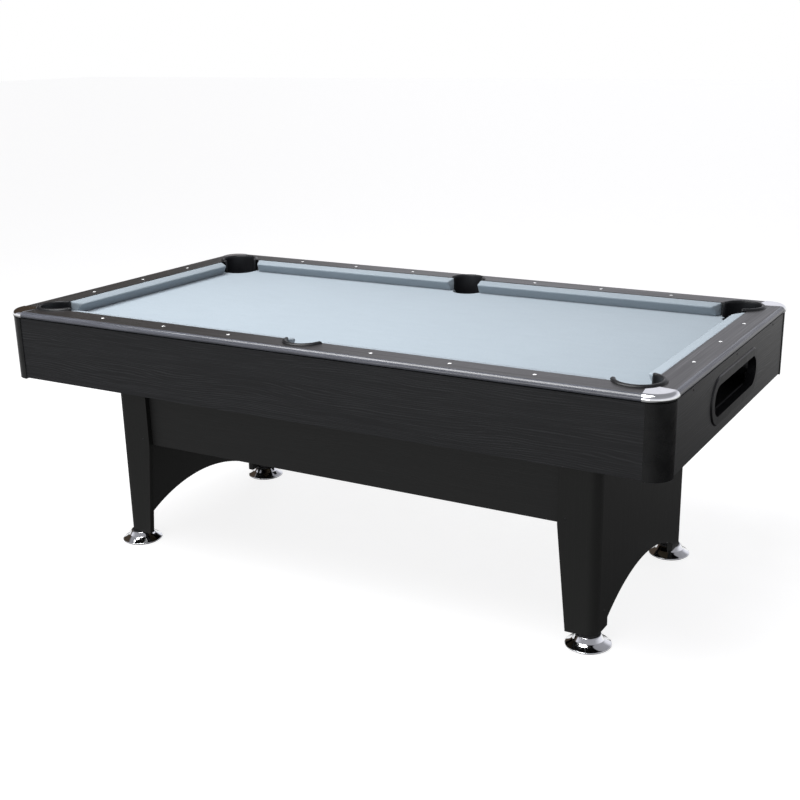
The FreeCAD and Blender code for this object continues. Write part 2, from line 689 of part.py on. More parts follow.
def make_aprons():
    """Four boards under the rails, between the corner posts. The right end has the window."""
    height = ("apron_bottom", "apron_top")
    for sy, row in ROWS:
        across = span(sy, f"{APRON_Y} - apron_thick", APRON_Y)
        keep(box("Apron" + row, (f"-{POST_X}", POST_X), across, height), f"apron_{row}")
    for sx, side in SIDES:
        along = span(sx, f"{APRON_X} - apron_thick", APRON_X)
        board = box("ApronBoard" + side, along, (f"-{POST_Y}", POST_Y), height)
        start, outward = signed(sx, f"({APRON_X} - screw_length)"), X_AXIS * sx
        tools = [
            cylinder(
                f"ApronBore{side}{index}", "screw_shank", "apron_thick * 2", start, y, "end_screw_z", outward
            )
            for index, y in enumerate(("-end_screw_y", "0", "end_screw_y"))
        ]
        if sx > 0:
            opening = new_body("WindowOpening")
            plan = window_outline("window_radius + bezel_wall + close_gap")
            pad(opening, outline_sketch(opening, "WindowPlan", "YZ_Plane", plan), "table_length")
            tools.append(opening)
        keep(cut("Apron" + side, board, *tools), f"apron_{side}_end")


def window_outline(radius):
    """The window: a slot with round ends, each end drawn as two quarter arcs."""
    half, middle = "window_half", "window_height"
    return [
        (f"-{half}", f"{middle} - ({radius})"), (half, f"{middle} - ({radius})", radius, 1),
        (f"{half} + {radius}", middle, radius, 1), (half, f"{middle} + {radius}"),
        (f"-{half}", f"{middle} + {radius}", radius, 1), (f"-{half} - ({radius})", middle, radius, 1),
    ]


def make_bezel():
    """The window's moulded bezel: a raised flange and a sleeve through the apron."""
    body = new_body("Bezel")
    sleeve, flange = "window_radius + bezel_wall", "window_radius + bezel_wall + bezel_flange"
    plan = outline_sketch(body, "BezelFlange", "YZ_Plane", window_outline(flange), APRON_X)
    face = pad(body, plan, "bezel_proud")
    front = value(f"{APRON_X} + bezel_proud")
    outer = [
        f"Edge{index}" for index, edge in enumerate(face.Shape.Edges, start=1)
        if abs(edge.BoundBox.XMin - front) < SAME_LEVEL and abs(edge.BoundBox.XMax - front) < SAME_LEVEL
    ]
    chamfer = body.newObject("PartDesign::Chamfer", "BezelSlope")
    chamfer.Base = (face, outer)
    bind(chamfer, Size="bezel_slope")
    doc.recompute()
    back = f"{APRON_X} - bezel_depth"
    pad(body, outline_sketch(body, "BezelSleeve", "YZ_Plane", window_outline(sleeve), back), "bezel_depth")
    start = f"{APRON_X} + bezel_depth"
    clear = outline_sketch(body, "BezelClear", "YZ_Plane", window_outline("window_radius"), start)
    pocket(body, clear, "bezel_depth * 3")
    keep(body, "window_bezel")


def post_half(along, across, swap):
    """Half of a corner post's section, from its tail to its inner arc; along and across are its centre."""
    face = f"({across} + post_radius)"
    board = f"({face} - post_proud)"
    behind = f"({board} - apron_thick - gap)"
    inner = "post_radius - post_wall"
    points = [
        (f"{along}", face), (f"{along} - post_proud", face), (f"{along} - post_proud", board),
        (along, board), (along, behind), (f"{along} - post_tab", behind),
        (f"{along} - post_tab", f"{behind} - post_wall"), (f"{along} + post_wall", f"{behind} - post_wall"),
        (f"{along} + post_wall", f"{across} + sqrt(({inner}) ^ 2 - post_wall ^ 2)"),
    ]
    return [(across_x, along_y) for along_y, across_x in points] if swap else points


def make_posts():
    """Smooth quarter-round corner posts with tabs that grip the apron ends."""
    front = [(x, f"-({y})") for x, y in post_half(POST_X, POST_Y, False)]
    end = [(x, f"-({y})") for x, y in post_half(POST_Y, POST_X, True)]
    outline = front[:-1] + [front[-1] + ("post_radius - post_wall", 1)] + end[::-1][:-1]
    outline += [end[0] + ("post_radius", -1)]
    body = new_body("Post")
    low = "apron_bottom - post_drop"
    pad(body, outline_sketch(body, "PostPlan", "XY_Plane", outline, low), f"apron_top - ({low})")
    right = keep(body, "corner_post_front_right")
    left = keep(mirrored("PostFrontLeft", right, X_AXIS), "corner_post_front_left")
    keep(mirrored("PostBackRight", right, Y_AXIS), "corner_post_back_right")
    keep(mirrored("PostBackLeft", left, Y_AXIS), "corner_post_back_left")


def make_ball_box():
    """The tray that collects the balls behind the window. Its inner side is open where a gully ends."""
    ends = ("box_start", f"{APRON_X} - bezel_depth - gap")
    outer = box("BoxOuter", ends, ("-box_half", "box_half"), ("box_floor - box_wall", "box_top"))
    inner = box(
        "BoxInner", ("box_start + box_wall", f"{ends[1]} - box_wall"),
        ("-box_half + box_wall", "box_half - box_wall"), ("box_floor", "box_top + overshoot"),
    )
    gates = [
        box(
            f"BoxGate{row}", ("box_start - overshoot", "box_start + box_wall + overshoot"),
            span(sy, "gully_inner", "gully_outer"), ("gully_low - gully_wall", "box_top + overshoot"),
        )
        for sy, row in ROWS
    ]
    front = box(
        "BoxFront", (f"{ends[1]} - box_wall - overshoot", f"{ends[1]} + overshoot"),
        ("-window_half - window_radius", "window_half + window_radius"),
        ("window_height - window_radius", "box_top + overshoot"),
    )
    keep(cut("BallBox", outer, inner, front, *gates), "ball_box")


def make_gullies():
    """Sloping channels under the pockets that run the balls to the ball box."""
    start, finish = "-gully_start", "box_start"
    outline = [
        (start, "gully_high - gully_wall"), (finish, "gully_low - gully_wall"),
        (finish, "gully_low + gully_rim"), (start, "gully_high + gully_rim"),
    ]
    channel = [
        (f"{start} + gully_wall", "gully_high"), (f"{finish} + overshoot", "gully_low"),
        (f"{finish} + overshoot", "gully_low + gully_rim * 2"),
        (f"{start} + gully_wall", "gully_high + gully_rim * 2"),
    ]
    body = new_body("Gully")
    middle, width = "((gully_inner + gully_outer) / 2)", "gully_outer - gully_inner"
    side = outline_sketch(body, "GullySide", "XZ_Plane", outline, middle)
    pad(body, side, f"{width} + gully_wall * 2", both_ways=True)
    room = outline_sketch(body, "GullyChannel", "XZ_Plane", channel, middle)
    pocket(body, room, width, both_ways=True)
    front = keep(body, "gully_front")
    keep(mirrored("GullyBack", front, Y_AXIS), "gully_back")


def make_bed_frame():
    """Boards that carry the bed: two along the table and one across it above each leg."""
    height = ("beam_bottom", BED_BOTTOM)
    for sy, row in ROWS:
        across = span(sy, "frame_inner", "frame_inner + frame_thick")
        keep(box("Frame" + row, ("-beam_offset", "beam_offset"), across, height), f"bed_frame_{row}")
    reach = f"({APRON_Y} - apron_thick)"
    for sx, side in SIDES:
        along = span(sx, "beam_offset", "beam_offset + frame_thick")
        keep(box("Beam" + side, along, (f"-{reach}", reach), height), f"bed_beam_{side}")


# Legs.

def make_legs():
    """Two legs, each an arched end panel between two tapered sides with rounded corners."""
    bottom, top = "leg_bottom", BED_BOTTOM
    corner_x, corner_y = "(leg_outer_x - leg_corner)", "(leg_outer_y - leg_corner)"
    plan = [
        ("leg_inner_top", "-leg_outer_y"), (corner_x, "-leg_outer_y", "leg_corner", 1),
        ("leg_outer_x", f"-{corner_y}"), ("leg_outer_x - leg_board", f"-{corner_y}"),
        ("leg_outer_x - leg_board", "-leg_outer_y + leg_board"),
        ("leg_inner_top", "-leg_outer_y + leg_board"),
    ]
    body = new_body("LegSide")
    pad(body, outline_sketch(body, "LegPlan", "XY_Plane", plan, bottom), f"{top} - {bottom}")
    taper = [
        ("leg_inner_top - overshoot", f"{bottom} - overshoot"),
        ("leg_inner_foot", f"{bottom} - overshoot"), ("leg_inner_foot", bottom),
        ("leg_inner_top", "taper_start"), ("leg_inner_top - overshoot", "taper_start"),
    ]
    pocket(body, outline_sketch(body, "LegTaper", "XZ_Plane", taper), "table_width * 2", both_ways=True)
    bore = circle_sketch(body, "LegBore", "XZ_Plane", [("side_screw_x", "side_screw_z", "screw_shank")])
    pocket(body, bore, "table_width * 2", both_ways=True)
    right = keep(body, "leg_side_front_right")
    left = keep(mirrored("LegFrontLeft", right, X_AXIS), "leg_side_front_left")
    keep(mirrored("LegBackRight", right, Y_AXIS), "leg_side_back_right")
    keep(mirrored("LegBackLeft", left, Y_AXIS), "leg_side_back_left")

    body = new_body("LegEnd")
    arch = [
        (f"-{corner_y}", bottom), ("-arch_half", bottom), ("-arch_half", "arch_spring", "arch_radius", -1),
        ("arch_half", "arch_spring"), ("arch_half", bottom), (corner_y, bottom), (corner_y, top),
        (f"-{corner_y}", top),
    ]
    face = outline_sketch(body, "LegArch", "YZ_Plane", arch, "leg_outer_x - leg_board")
    pad(body, face, "leg_board")
    bores = [(signed(sy, "panel_screw_y"), "panel_screw_z", "screw_shank") for sy in (-1, 1)]
    pocket(body, circle_sketch(body, "PanelBores", "YZ_Plane", bores, "table_length"), "table_length * 2")
    end = keep(body, "leg_end_panel_right")
    keep(mirrored("LegEndLeft", end, X_AXIS), "leg_end_panel_left")

    reach = "(leg_outer_x - leg_board)"
    for sy, row in ROWS:
        across = span(sy, "leg_outer_y - leg_board * 2", "leg_outer_y - leg_board")
        keep(box("Stretcher" + row, (f"-{reach}", reach), across, ("taper_start", top)), f"stretcher_{row}")


def make_leg_blocks():
    """Blocks and round hubs at the foot of each leg, and the threaded inserts for the levelling studs."""
    blocks, inserts = [], []
    for sx, side in SIDES:
        for sy, row in ROWS:
            place_name = row + side
            along = span(sx, "leg_outer_x - leg_board - block_side", "leg_outer_x - leg_board")
            across = span(sy, "leg_outer_y - leg_board - block_side", "leg_outer_y - leg_board")
            x, y = signed(sx, "foot_x"), signed(sy, "foot_y")
            hub = cylinder("Hub" + place_name, "hub_radius", "leg_bottom - hub_bottom", x, y, "hub_bottom")
            board = box("Board" + place_name, along, across, ("leg_bottom", "block_top"))
            block = joined("Block" + place_name, (board, hub))
            seat = cylinder("Seat" + place_name, "insert_radius", "insert_length", x, y, "leg_bottom")
            room = cylinder("Room" + place_name, "stud_radius + gap * 2", "block_top + overshoot", x, y, "0")
            blocks.append(cut("LegBlock" + place_name, block, seat, room))
            sleeve = cylinder("Sleeve" + place_name, "insert_radius", "insert_length", x, y, "leg_bottom")
            thread = cylinder("Thread" + place_name, "stud_radius + stud_play", "block_top", x, y, "0")
            inserts.append(cut("Insert" + place_name, sleeve, thread))
    keep(group("LegBlocks", blocks), "leg_corner_blocks")
    keep(group("LegInserts", inserts), "leg_insert_nuts")


def make_foot(sx, side, sy, row):
    """A chromed bell foot with its stud, on a rubber pad that it turns on."""
    clear = "pad_thick + gap"
    foot = [
        ("pin_radius + stud_play", clear), ("foot_radius - foot_edge", clear),
        ("foot_radius", f"{clear} + foot_edge"), ("foot_radius", f"{clear} + foot_lip"),
        ("foot_radius - lip_step", f"{clear} + foot_lip + lip_rise"),
        ("neck_radius + foot_bevel", "neck_start"), ("neck_radius", "neck_start + foot_bevel"),
        ("neck_top_radius", "neck_top - foot_bevel"), ("neck_top_radius - foot_bevel", "neck_top"),
        ("stud_radius", "neck_top"), ("stud_radius", "stud_top - foot_bevel"),
        ("stud_radius - foot_bevel", "stud_top"), ("0", "stud_top"), ("0", "pin_top + gap"),
        ("pin_radius + stud_play", "pin_top + gap"),
    ]
    body = new_body("Foot")
    revolve(body, outline_sketch(body, "FootSection", "XZ_Plane", foot))
    place(body, signed(sx, "foot_x"), signed(sy, "foot_y"))
    keep(body, f"levelling_foot_{row}_{side}")
    pad_section = [
        ("0", "0"), ("pad_radius - foot_bevel", "0"), ("pad_radius", "foot_bevel"),
        ("pad_radius", "pad_thick"), ("pin_radius", "pad_thick"), ("pin_radius", "pin_top"), ("0", "pin_top"),
    ]
    body = new_body("Pad")
    revolve(body, outline_sketch(body, "PadSection", "XZ_Plane", pad_section))
    place(body, signed(sx, "foot_x"), signed(sy, "foot_y"))
    keep(body, f"foot_pad_{row}_{side}")


def make_feet():
    for sx, side in SIDES:
        for sy, row in ROWS:
            make_foot(sx, side, sy, row)


# Fasteners.

def screw(name, x, y, z, outward):
    """A panel screw: a head on the surface at a point, and a shank into the board behind it."""
    head = cylinder(name + "Head", "screw_head", "screw_proud", x, y, z, outward)
    shank = cylinder(name + "Shank", "screw_shank", "screw_length", x, y, z, outward * -1)
    return joined(name, (head, shank))


def make_panel_screws():
    """Screws in the end aprons, the leg sides and the leg end panels."""
    screws = []
    for sx, side in SIDES:
        face = signed(sx, APRON_X)
        for index, y in enumerate(("-end_screw_y", "0", "end_screw_y")):
            screws.append(screw(f"EndScrew{side}{index}", face, y, "end_screw_z", X_AXIS * sx))
        for sy, row in ROWS:
            x, y = signed(sx, "side_screw_x"), signed(sy, "leg_outer_y")
            screws.append(screw(f"SideScrew{row}{side}", x, y, "side_screw_z", Y_AXIS * sy))
            x, y = signed(sx, "leg_outer_x"), signed(sy, "panel_screw_y")
            screws.append(screw(f"PanelScrew{row}{side}", x, y, "panel_screw_z", X_AXIS * sx))
    keep(group("PanelScrews", screws), "panel_screws")


def make_rail_bolts():
    """Bolts up through the bed into the rail cores."""
    bolts = []
    for index, (x, y) in enumerate(bolt_places()):
        low = f"{BED_BOTTOM} - bolt_head_thick"
        head = cylinder(f"BoltHead{index}", "bolt_head", "bolt_head_thick", x, y, low)
        shank = cylinder(f"BoltShank{index}", "bolt_radius", f"bolt_top - {BED_BOTTOM}", x, y, BED_BOTTOM)
        bolts.append(joined(f"Bolt{index}", (head, shank)))
    keep(group("RailBolts", bolts), "rail_bolts")


def angle_brackets():
    """Steel angles that join the end beams to the long aprons."""
    angles = []
    middle = f"((beam_bottom + {BED_BOTTOM}) / 2)"
    height = (f"{middle} - bracket_width / 2", f"{middle} + bracket_width / 2")
    wall = f"{APRON_Y} - apron_thick"
    for sx, side in SIDES:
        for sy, row in ROWS:
            on_apron = box(
                f"ApronLeg{row}{side}", span(sx, "beam_offset - bracket_leg", "beam_offset"),
                span(sy, f"{wall} - bracket_thick", wall), height,
            )
            on_beam = box(
                f"BeamLeg{row}{side}", span(sx, "beam_offset - bracket_thick", "beam_offset"),
                span(sy, f"{wall} - bracket_leg", wall), height,
            )
            angles.append(joined(f"BeamAngle{row}{side}", (on_apron, on_beam)))
    return angles


def bed_brackets():
    """Steel angles that hold the bed down to the stretchers."""
    angles = []
    board = "leg_outer_y - leg_board * 2"
    for sy, row in ROWS:
        for index, x in enumerate(("-bracket_pitch", "0", "bracket_pitch")):
            along = (f"{x} - bracket_width / 2", f"{x} + bracket_width / 2")
            on_board = box(
                f"StretcherLeg{row}{index}", along, span(sy, f"{board} - bracket_thick", board),
                (f"{BED_BOTTOM} - bracket_leg", BED_BOTTOM),
            )
            on_bed = box(
                f"BedLeg{row}{index}", along, span(sy, f"{board} - bracket_leg", board),
                (f"{BED_BOTTOM} - bracket_thick", BED_BOTTOM),
            )
            angles.append(joined(f"BedAngle{row}{index}", (on_board, on_bed)))
    return angles


def gully_straps():
    """Steel straps screwed to the bed frame that carry the gullies from below."""
    straps = []
    slope = "(gully_high - gully_low) / (gully_start + box_start)"
    wall = "frame_inner + frame_thick"
    for sy, row in ROWS:
        for index, x in enumerate(("-strap_far", "-strap_near", "strap_near", "strap_far")):
            along = (f"{x} - strap_width / 2", f"{x} + strap_width / 2")
            under = f"gully_low - gully_wall + ({slope}) * (box_start - ({x}) - strap_width / 2)"
            hanger = box(
                f"Hanger{row}{index}", along, span(sy, wall, f"{wall} + strap_thick"),
                (f"{under} - strap_thick", f"{BED_BOTTOM} - strap_thick"),
            )
            shelf = box(
                f"Shelf{row}{index}", along, span(sy, wall, "gully_outer + gully_wall"),
                (f"{under} - strap_thick", under),
            )
            straps.append(joined(f"Strap{row}{index}", (hanger, shelf)))
    return straps


def box_ledges():
    """Steel angles on the long aprons that the ball box stands on."""
    ledges = []
    wall = f"{APRON_Y} - apron_thick"
    under = "box_floor - box_wall"
    along = ("box_start + bracket_width", f"{POST_X} - post_tab - gap")
    for sy, row in ROWS:
        shelf = box(
            f"BoxShelf{row}", along, span(sy, f"{wall} - bracket_leg", wall),
            (f"{under} - bracket_thick", under),
        )
        hanger = box(
            f"BoxHanger{row}", along, span(sy, f"{wall} - bracket_thick", wall),
            (under, f"{under} + bracket_leg"),
        )
        ledges.append(joined(f"BoxLedge{row}", (shelf, hanger)))
    return ledges


def make_brackets():
    """All the steel angles and straps under the bed."""
    pieces = angle_brackets() + bed_brackets() + gully_straps() + box_ledges()
    keep(group("Brackets", pieces), "steel_brackets")


def check_and_write():
    """Stop on any failed object or bad shape, then write one file per part."""
    doc.recompute()
    for thing in doc.Objects:
        if "Invalid" in thing.State or "Error" in thing.State:
            raise RuntimeError(f"{thing.Name} failed: {thing.State}")
    os.makedirs("parts", exist_ok=True)
    for part in parts:
        shape = part.Shape
        if shape.isNull() or not shape.isValid() or shape.Volume <= 0:
            raise RuntimeError(f"{part.Label} has a bad shape")
        shape.exportStep(f"parts/{part.Label}.step")
        print(f"{part.Label}: {len(shape.Solids)} solids, {shape.Volume / 1000:.1f} cm3")


fill_sheet()
make_rails()
make_caps()
make_sights()
make_bed()
make_cloth()
make_cushions()
make_liners()
make_aprons()
make_bezel()
make_posts()
make_ball_box()
make_gullies()
make_bed_frame()
make_legs()
make_leg_blocks()
make_feet()
make_panel_screws()
make_rail_bolts()
make_brackets()
check_and_write()
print(len(parts), "parts")
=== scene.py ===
import math

import bmesh
import bpy
from mathutils import Euler, Matrix, Vector


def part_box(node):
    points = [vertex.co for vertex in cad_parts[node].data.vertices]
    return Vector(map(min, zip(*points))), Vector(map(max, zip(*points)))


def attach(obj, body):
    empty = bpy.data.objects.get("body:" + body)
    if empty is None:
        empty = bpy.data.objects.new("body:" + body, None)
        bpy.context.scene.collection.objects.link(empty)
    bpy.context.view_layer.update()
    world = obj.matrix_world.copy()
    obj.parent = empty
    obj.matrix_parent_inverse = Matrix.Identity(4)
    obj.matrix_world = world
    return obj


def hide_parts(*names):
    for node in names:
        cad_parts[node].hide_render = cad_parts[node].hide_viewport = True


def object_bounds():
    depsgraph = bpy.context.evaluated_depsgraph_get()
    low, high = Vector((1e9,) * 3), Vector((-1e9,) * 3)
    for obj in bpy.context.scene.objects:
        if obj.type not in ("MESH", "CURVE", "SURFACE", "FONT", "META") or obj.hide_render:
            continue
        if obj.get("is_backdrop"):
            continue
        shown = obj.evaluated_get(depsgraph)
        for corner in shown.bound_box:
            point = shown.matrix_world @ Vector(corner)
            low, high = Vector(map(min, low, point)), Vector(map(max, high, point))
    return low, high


# The looks of the pool table. Lengths are metres, in the CAD's own frame: +X along the table
# towards the ball window, +Z up, the origin on the floor under the middle.

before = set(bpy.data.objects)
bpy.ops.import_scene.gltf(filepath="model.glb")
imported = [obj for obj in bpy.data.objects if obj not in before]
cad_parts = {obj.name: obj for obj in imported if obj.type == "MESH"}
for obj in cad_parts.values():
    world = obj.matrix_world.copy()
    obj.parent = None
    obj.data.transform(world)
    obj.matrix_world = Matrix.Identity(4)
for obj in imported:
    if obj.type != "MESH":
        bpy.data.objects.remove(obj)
CAD_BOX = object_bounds()

# Places read from the frame.
LENGTH_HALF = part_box("corner_cap_front_right")[1][0]
WIDTH_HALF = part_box("corner_cap_back_right")[1][1]
RAIL_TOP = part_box("rail_front")[1][2]
CLOTH_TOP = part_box("bed_cloth")[1][2]
RAIL_INNER_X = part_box("rail_right_end")[0][0]
RAIL_INNER_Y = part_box("rail_back")[0][1]
CUSHION_DEPTH = RAIL_INNER_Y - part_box("cushion_back_right")[0][1]
LINER_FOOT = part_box("pocket_liner_back_side")[0][2]
BED_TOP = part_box("playfield_bed")[1][2]
BED_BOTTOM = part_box("playfield_bed")[0][2]
APRON_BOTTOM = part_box("apron_front")[0][2]

SIDES = ((-1, "left"), (1, "right"))
ROWS = ((-1, "front"), (1, "back"))


# Mesh building.

def add_mesh(name, points, faces, body, material):
    """A smooth mesh object that rides on a body."""
    mesh = bpy.data.meshes.new(name)
    mesh.from_pydata([tuple(point) for point in points], [], faces)
    mesh.validate()
    for polygon in mesh.polygons:
        polygon.use_smooth = True
    mesh.materials.append(material)
    thing = bpy.data.objects.new(name, mesh)
    bpy.context.collection.objects.link(thing)
    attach(thing, body)
    return thing


def outward_normals(thing):
    """Turn every face outwards."""
    work = bmesh.new()
    work.from_mesh(thing.data)
    bmesh.ops.recalc_face_normals(work, faces=work.faces)
    work.to_mesh(thing.data)
    work.free()


def sharp_edges(thing, angle):
    """Shade smoothly except across edges sharper than this angle, in degrees."""
    thing.data.set_sharp_from_angle(angle=math.radians(angle))


class Shape:
    """Points and faces of a mesh made from several lofts."""

    def __init__(self):
        self.points = []
        self.faces = []

    def loft(self, rings, closed=True, caps=True, around=False):
        """Join rings of equally many points.

        closed joins each ring's ends, around joins the last ring to the first."""
        start, count = len(self.points), len(rings[0])
        for ring in rings:
            self.points.extend(ring)
        steps = len(rings) if around else len(rings) - 1
        for row in range(steps):
            near, far = start + row * count, start + (row + 1) % len(rings) * count
            for column in range(count if closed else count - 1):
                following = (column + 1) % count
                self.faces.append((near + column, near + following, far + following, far + column))
        if caps and not around:
            self.faces.append(tuple(start + column for column in reversed(range(count))))
            last = start + (len(rings) - 1) * count
            self.faces.append(tuple(last + column for column in range(count)))

    def lathe(self, profile, centre, segments, caps=False):
        """Turn a list of (radius, height) about a vertical line."""
        self.loft([round_points(*centre, height, radius, segments) for radius, height in profile], caps=caps)

    def make(self, name, body, material, angle):
        """A mesh object of this shape, smooth except across edges sharper than the angle, in degrees."""
        thing = add_mesh(name, self.points, self.faces, body, material)
        outward_normals(thing)
        sharp_edges(thing, angle)
        return thing


def between(low, high, share):
    """The value at a share of the way from low to high."""
    return low + (high - low) * share


def round_points(x, y, height, radius, steps):
    """Points of a level circle."""
    turns = [math.tau * step / steps for step in range(steps)]
    return [(x + radius * math.cos(turn), y + radius * math.sin(turn), height) for turn in turns]


# Materials.

# The colour sockets of a Mix node, which share their names with its other kinds.
MIX_FIRST, MIX_SECOND, MIX_RESULT = 6, 7, 2


def add_node(tree, kind, inputs=None, **settings):
    """A shader node with its settings and its inputs, each a value or a socket to link from."""
    made = tree.nodes.new("ShaderNode" + kind)
    for key, value in settings.items():
        setattr(made, key, value)
    for key, value in (inputs or {}).items():
        if isinstance(value, bpy.types.NodeSocket):
            tree.links.new(value, made.inputs[key])
        else:
            made.inputs[key].default_value = value
    return made


class Look:
    """A Principled material and short ways to add nodes to it."""

    def __init__(self, name, color, roughness, **sockets):
        self.material = bpy.data.materials.new(name)
        self.material.use_nodes = True
        self.tree = self.material.node_tree
        self.shader = self.tree.nodes["Principled BSDF"]
        self.shader.inputs["Base Color"].default_value = (*color, 1)
        self.shader.inputs["Roughness"].default_value = roughness
        for key, value in sockets.items():
            self.shader.inputs[key.replace("_", " ")].default_value = value
        self.bumped = None

    def node(self, kind, inputs=None, **settings):
        return add_node(self.tree, kind, inputs, **settings)

    def place(self):
        """Object coordinates."""
        return self.node("TexCoord").outputs["Object"]

    def axes(self):
        """Object coordinates as three sockets."""
        return self.node("SeparateXYZ", {0: self.place()}).outputs

    def stretched(self, scale):
        """Object coordinates scaled differently along each axis."""
        return self.node("Mapping", {"Vector": self.place(), "Scale": scale}).outputs[0]

    def noise(self, scale, detail=4.0, roughness=0.55, distortion=0.0):
        """Noise whose scale is a number, or one for each axis."""
        if isinstance(scale, tuple):
            vector, factor = self.stretched(scale), 1.0
        else:
            vector, factor = self.place(), scale
        inputs = {"Vector": vector, "Scale": factor, "Detail": detail, "Roughness": roughness}
        inputs["Distortion"] = distortion
        return self.node("TexNoise", inputs).outputs["Fac"]

    def calc(self, operation, *values):
        """One Math node."""
        return self.node("Math", dict(enumerate(values)), operation=operation).outputs[0]

    def fit(self, value, low, high, out_low=0.0, out_high=1.0):
        """A value's range moved to another, and held inside it."""
        inputs = {"Value": value, "From Min": low, "From Max": high, "To Min": out_low, "To Max": out_high}
        return self.node("MapRange", inputs, clamp=True).outputs[0]

    def blend(self, share, first, second):
        """Mix two colours, each a socket or three numbers."""
        inputs = {"Factor": share}
        for key, color in ((MIX_FIRST, first), (MIX_SECOND, second)):
            inputs[key] = color if isinstance(color, bpy.types.NodeSocket) else (*color, 1)
        return self.node("Mix", inputs, data_type="RGBA").outputs[MIX_RESULT]

    def color(self, socket):
        self.tree.links.new(socket, self.shader.inputs["Base Color"])

    def roughness(self, socket):
        self.tree.links.new(socket, self.shader.inputs["Roughness"])

    def bump(self, height, distance, strength=1.0):
        """Add a bump on top of any earlier one."""
        inputs = {"Height": height, "Distance": distance, "Strength": strength}
        if self.bumped is not None:
            inputs["Normal"] = self.bumped
        self.bumped = self.node("Bump", inputs).outputs[0]
        self.tree.links.new(self.bumped, self.shader.inputs["Normal"])


def along(axis, slow, fast):
    """Scales that stretch a texture along one axis."""
    return tuple(slow if index == axis else fast for index in range(3))


def wood_figure(look, axis, spacing, wander):
    """Cathedral lines along one axis: bands across the grain, pushed about by slow noise."""
    outputs = look.axes()
    across = [outputs[index] for index in range(3) if index != axis]
    line = look.calc("ADD", across[0], across[1])
    slow = look.noise(along(axis, 1.6, 9.0), detail=2.0, roughness=0.45)
    small = look.noise(along(axis, 7.0, 60.0), detail=3.0)
    pushed = look.calc("MULTIPLY_ADD", slow, wander, line)
    pushed = look.calc("MULTIPLY_ADD", small, wander * 0.08, pushed)
    wave = look.calc("SINE", look.calc("MULTIPLY", pushed, math.tau / spacing))
    return look.fit(wave, -1.0, 1.0)


def laminate(name, axis, dark, light, roughness, figure_share=0.60, gloss=0.22):
    """Black laminate printed and embossed with a wood grain along one axis."""
    spacing, wander = 0.0052, 0.075
    look = Look(name, dark, roughness, Specular_IOR_Level=gloss)
    figure = wood_figure(look, axis, spacing, wander)
    pores = look.noise(along(axis, 9.0, 420.0), detail=5.0, roughness=0.6)
    streaks = look.noise(along(axis, 2.5, 130.0), detail=4.0)
    patches = look.noise(along(axis, 0.8, 5.0), detail=2.0)
    lines = look.calc("MULTIPLY", look.fit(figure, 0.45, 1.0), look.fit(streaks, 0.38, 0.62))
    printed = look.calc("MULTIPLY", lines, figure_share)
    grain = look.calc("ADD", printed, look.fit(pores, 0.5, 0.72, 0.0, 0.35))
    tone = look.blend(grain, dark, light)
    look.color(look.blend(look.fit(patches, 0.35, 0.7, 0.0, 0.45), tone, dark))
    look.roughness(look.fit(grain, 0.0, 1.0, roughness + 0.08, roughness - 0.06))
    look.bump(grain, 0.00014)
    look.bump(look.noise(700.0, detail=2.0), 0.00004)
    return look


def chipped(look):
    """Pale specks where the laminate has chipped along the bottom edge of an apron."""
    above = look.calc("SUBTRACT", look.axes()[2], APRON_BOTTOM)
    low = look.fit(above, 0.0007, 0.0016, 1.0, 0.0)
    spots = look.fit(look.noise(95.0, detail=2.0), 0.71, 0.73)
    tone = look.shader.inputs["Base Color"].links[0].from_socket
    look.color(look.blend(look.calc("MULTIPLY", low, spots), tone, (0.42, 0.40, 0.37)))
    return look


ROLL_WIDTH = 0.0135


def rail_laminate(name, axis):
    """Satin rail top with a fine straight grain, and a glossier streaked wrap on the rolled edge whose much
    lighter colour is a painted highlight.
    """
    dark, light = (0.0095, 0.0090, 0.0090), (0.0330, 0.0318, 0.0325)
    look = Look(name, dark, 0.42)
    x, y, _ = look.axes()
    past_x = look.calc("SUBTRACT", look.calc("ABSOLUTE", x), LENGTH_HALF - ROLL_WIDTH)
    past_y = look.calc("SUBTRACT", look.calc("ABSOLUTE", y), WIDTH_HALF - ROLL_WIDTH)
    rolled = look.fit(look.calc("MAXIMUM", past_x, past_y), -0.0006, 0.0006)
    fine = look.noise(along(axis, 6.0, 520.0), detail=5.0, roughness=0.62)
    streaks = look.noise(along(axis, 2.2, 190.0), detail=3.0)
    figure = wood_figure(look, axis, 0.009, 0.05)
    grain = look.calc("MULTIPLY", look.fit(streaks, 0.38, 0.66), look.fit(figure, 0.2, 1.0, 0.45, 1.0))
    top = look.blend(look.calc("MULTIPLY", grain, 0.8), dark, light)
    # Painted highlight: the rolled edge's streaked colour is made far lighter than the top, to stand in for
    # the light it catches.
    roll_painted_highlight = look.blend(look.fit(fine, 0.36, 0.64), (0.026, 0.028, 0.034), (0.095, 0.100, 0.118))
    look.color(look.blend(rolled, top, roll_painted_highlight))
    top_rough = look.fit(grain, 0.0, 1.0, 0.36, 0.27)
    roll_rough = look.fit(fine, 0.35, 0.65, 0.30, 0.16)
    look.roughness(look.calc("MULTIPLY_ADD", look.calc("SUBTRACT", roll_rough, top_rough), rolled, top_rough))
    look.bump(look.calc("ADD", fine, look.calc("MULTIPLY", grain, 0.6)), 0.00012)
    return look.material


def plastic(name, color, roughness, bump_scale=900.0, bump=0.00006):
    """Moulded plastic: spark-eroded texture, faint tone and gloss variation."""
    marks = 0.05
    look = Look(name, color, roughness, Specular_IOR_Level=0.3)
    clouds = look.noise(14.0, detail=3.0)
    paler = tuple(channel * 1.7 + 0.002 for channel in color)
    look.color(look.blend(look.fit(clouds, 0.35, 0.75), color, paler))
    look.roughness(look.fit(look.noise(45.0, detail=4.0), 0.3, 0.7, roughness - marks, roughness + marks))
    look.bump(look.noise(bump_scale, detail=2.0), bump)
    return look.material


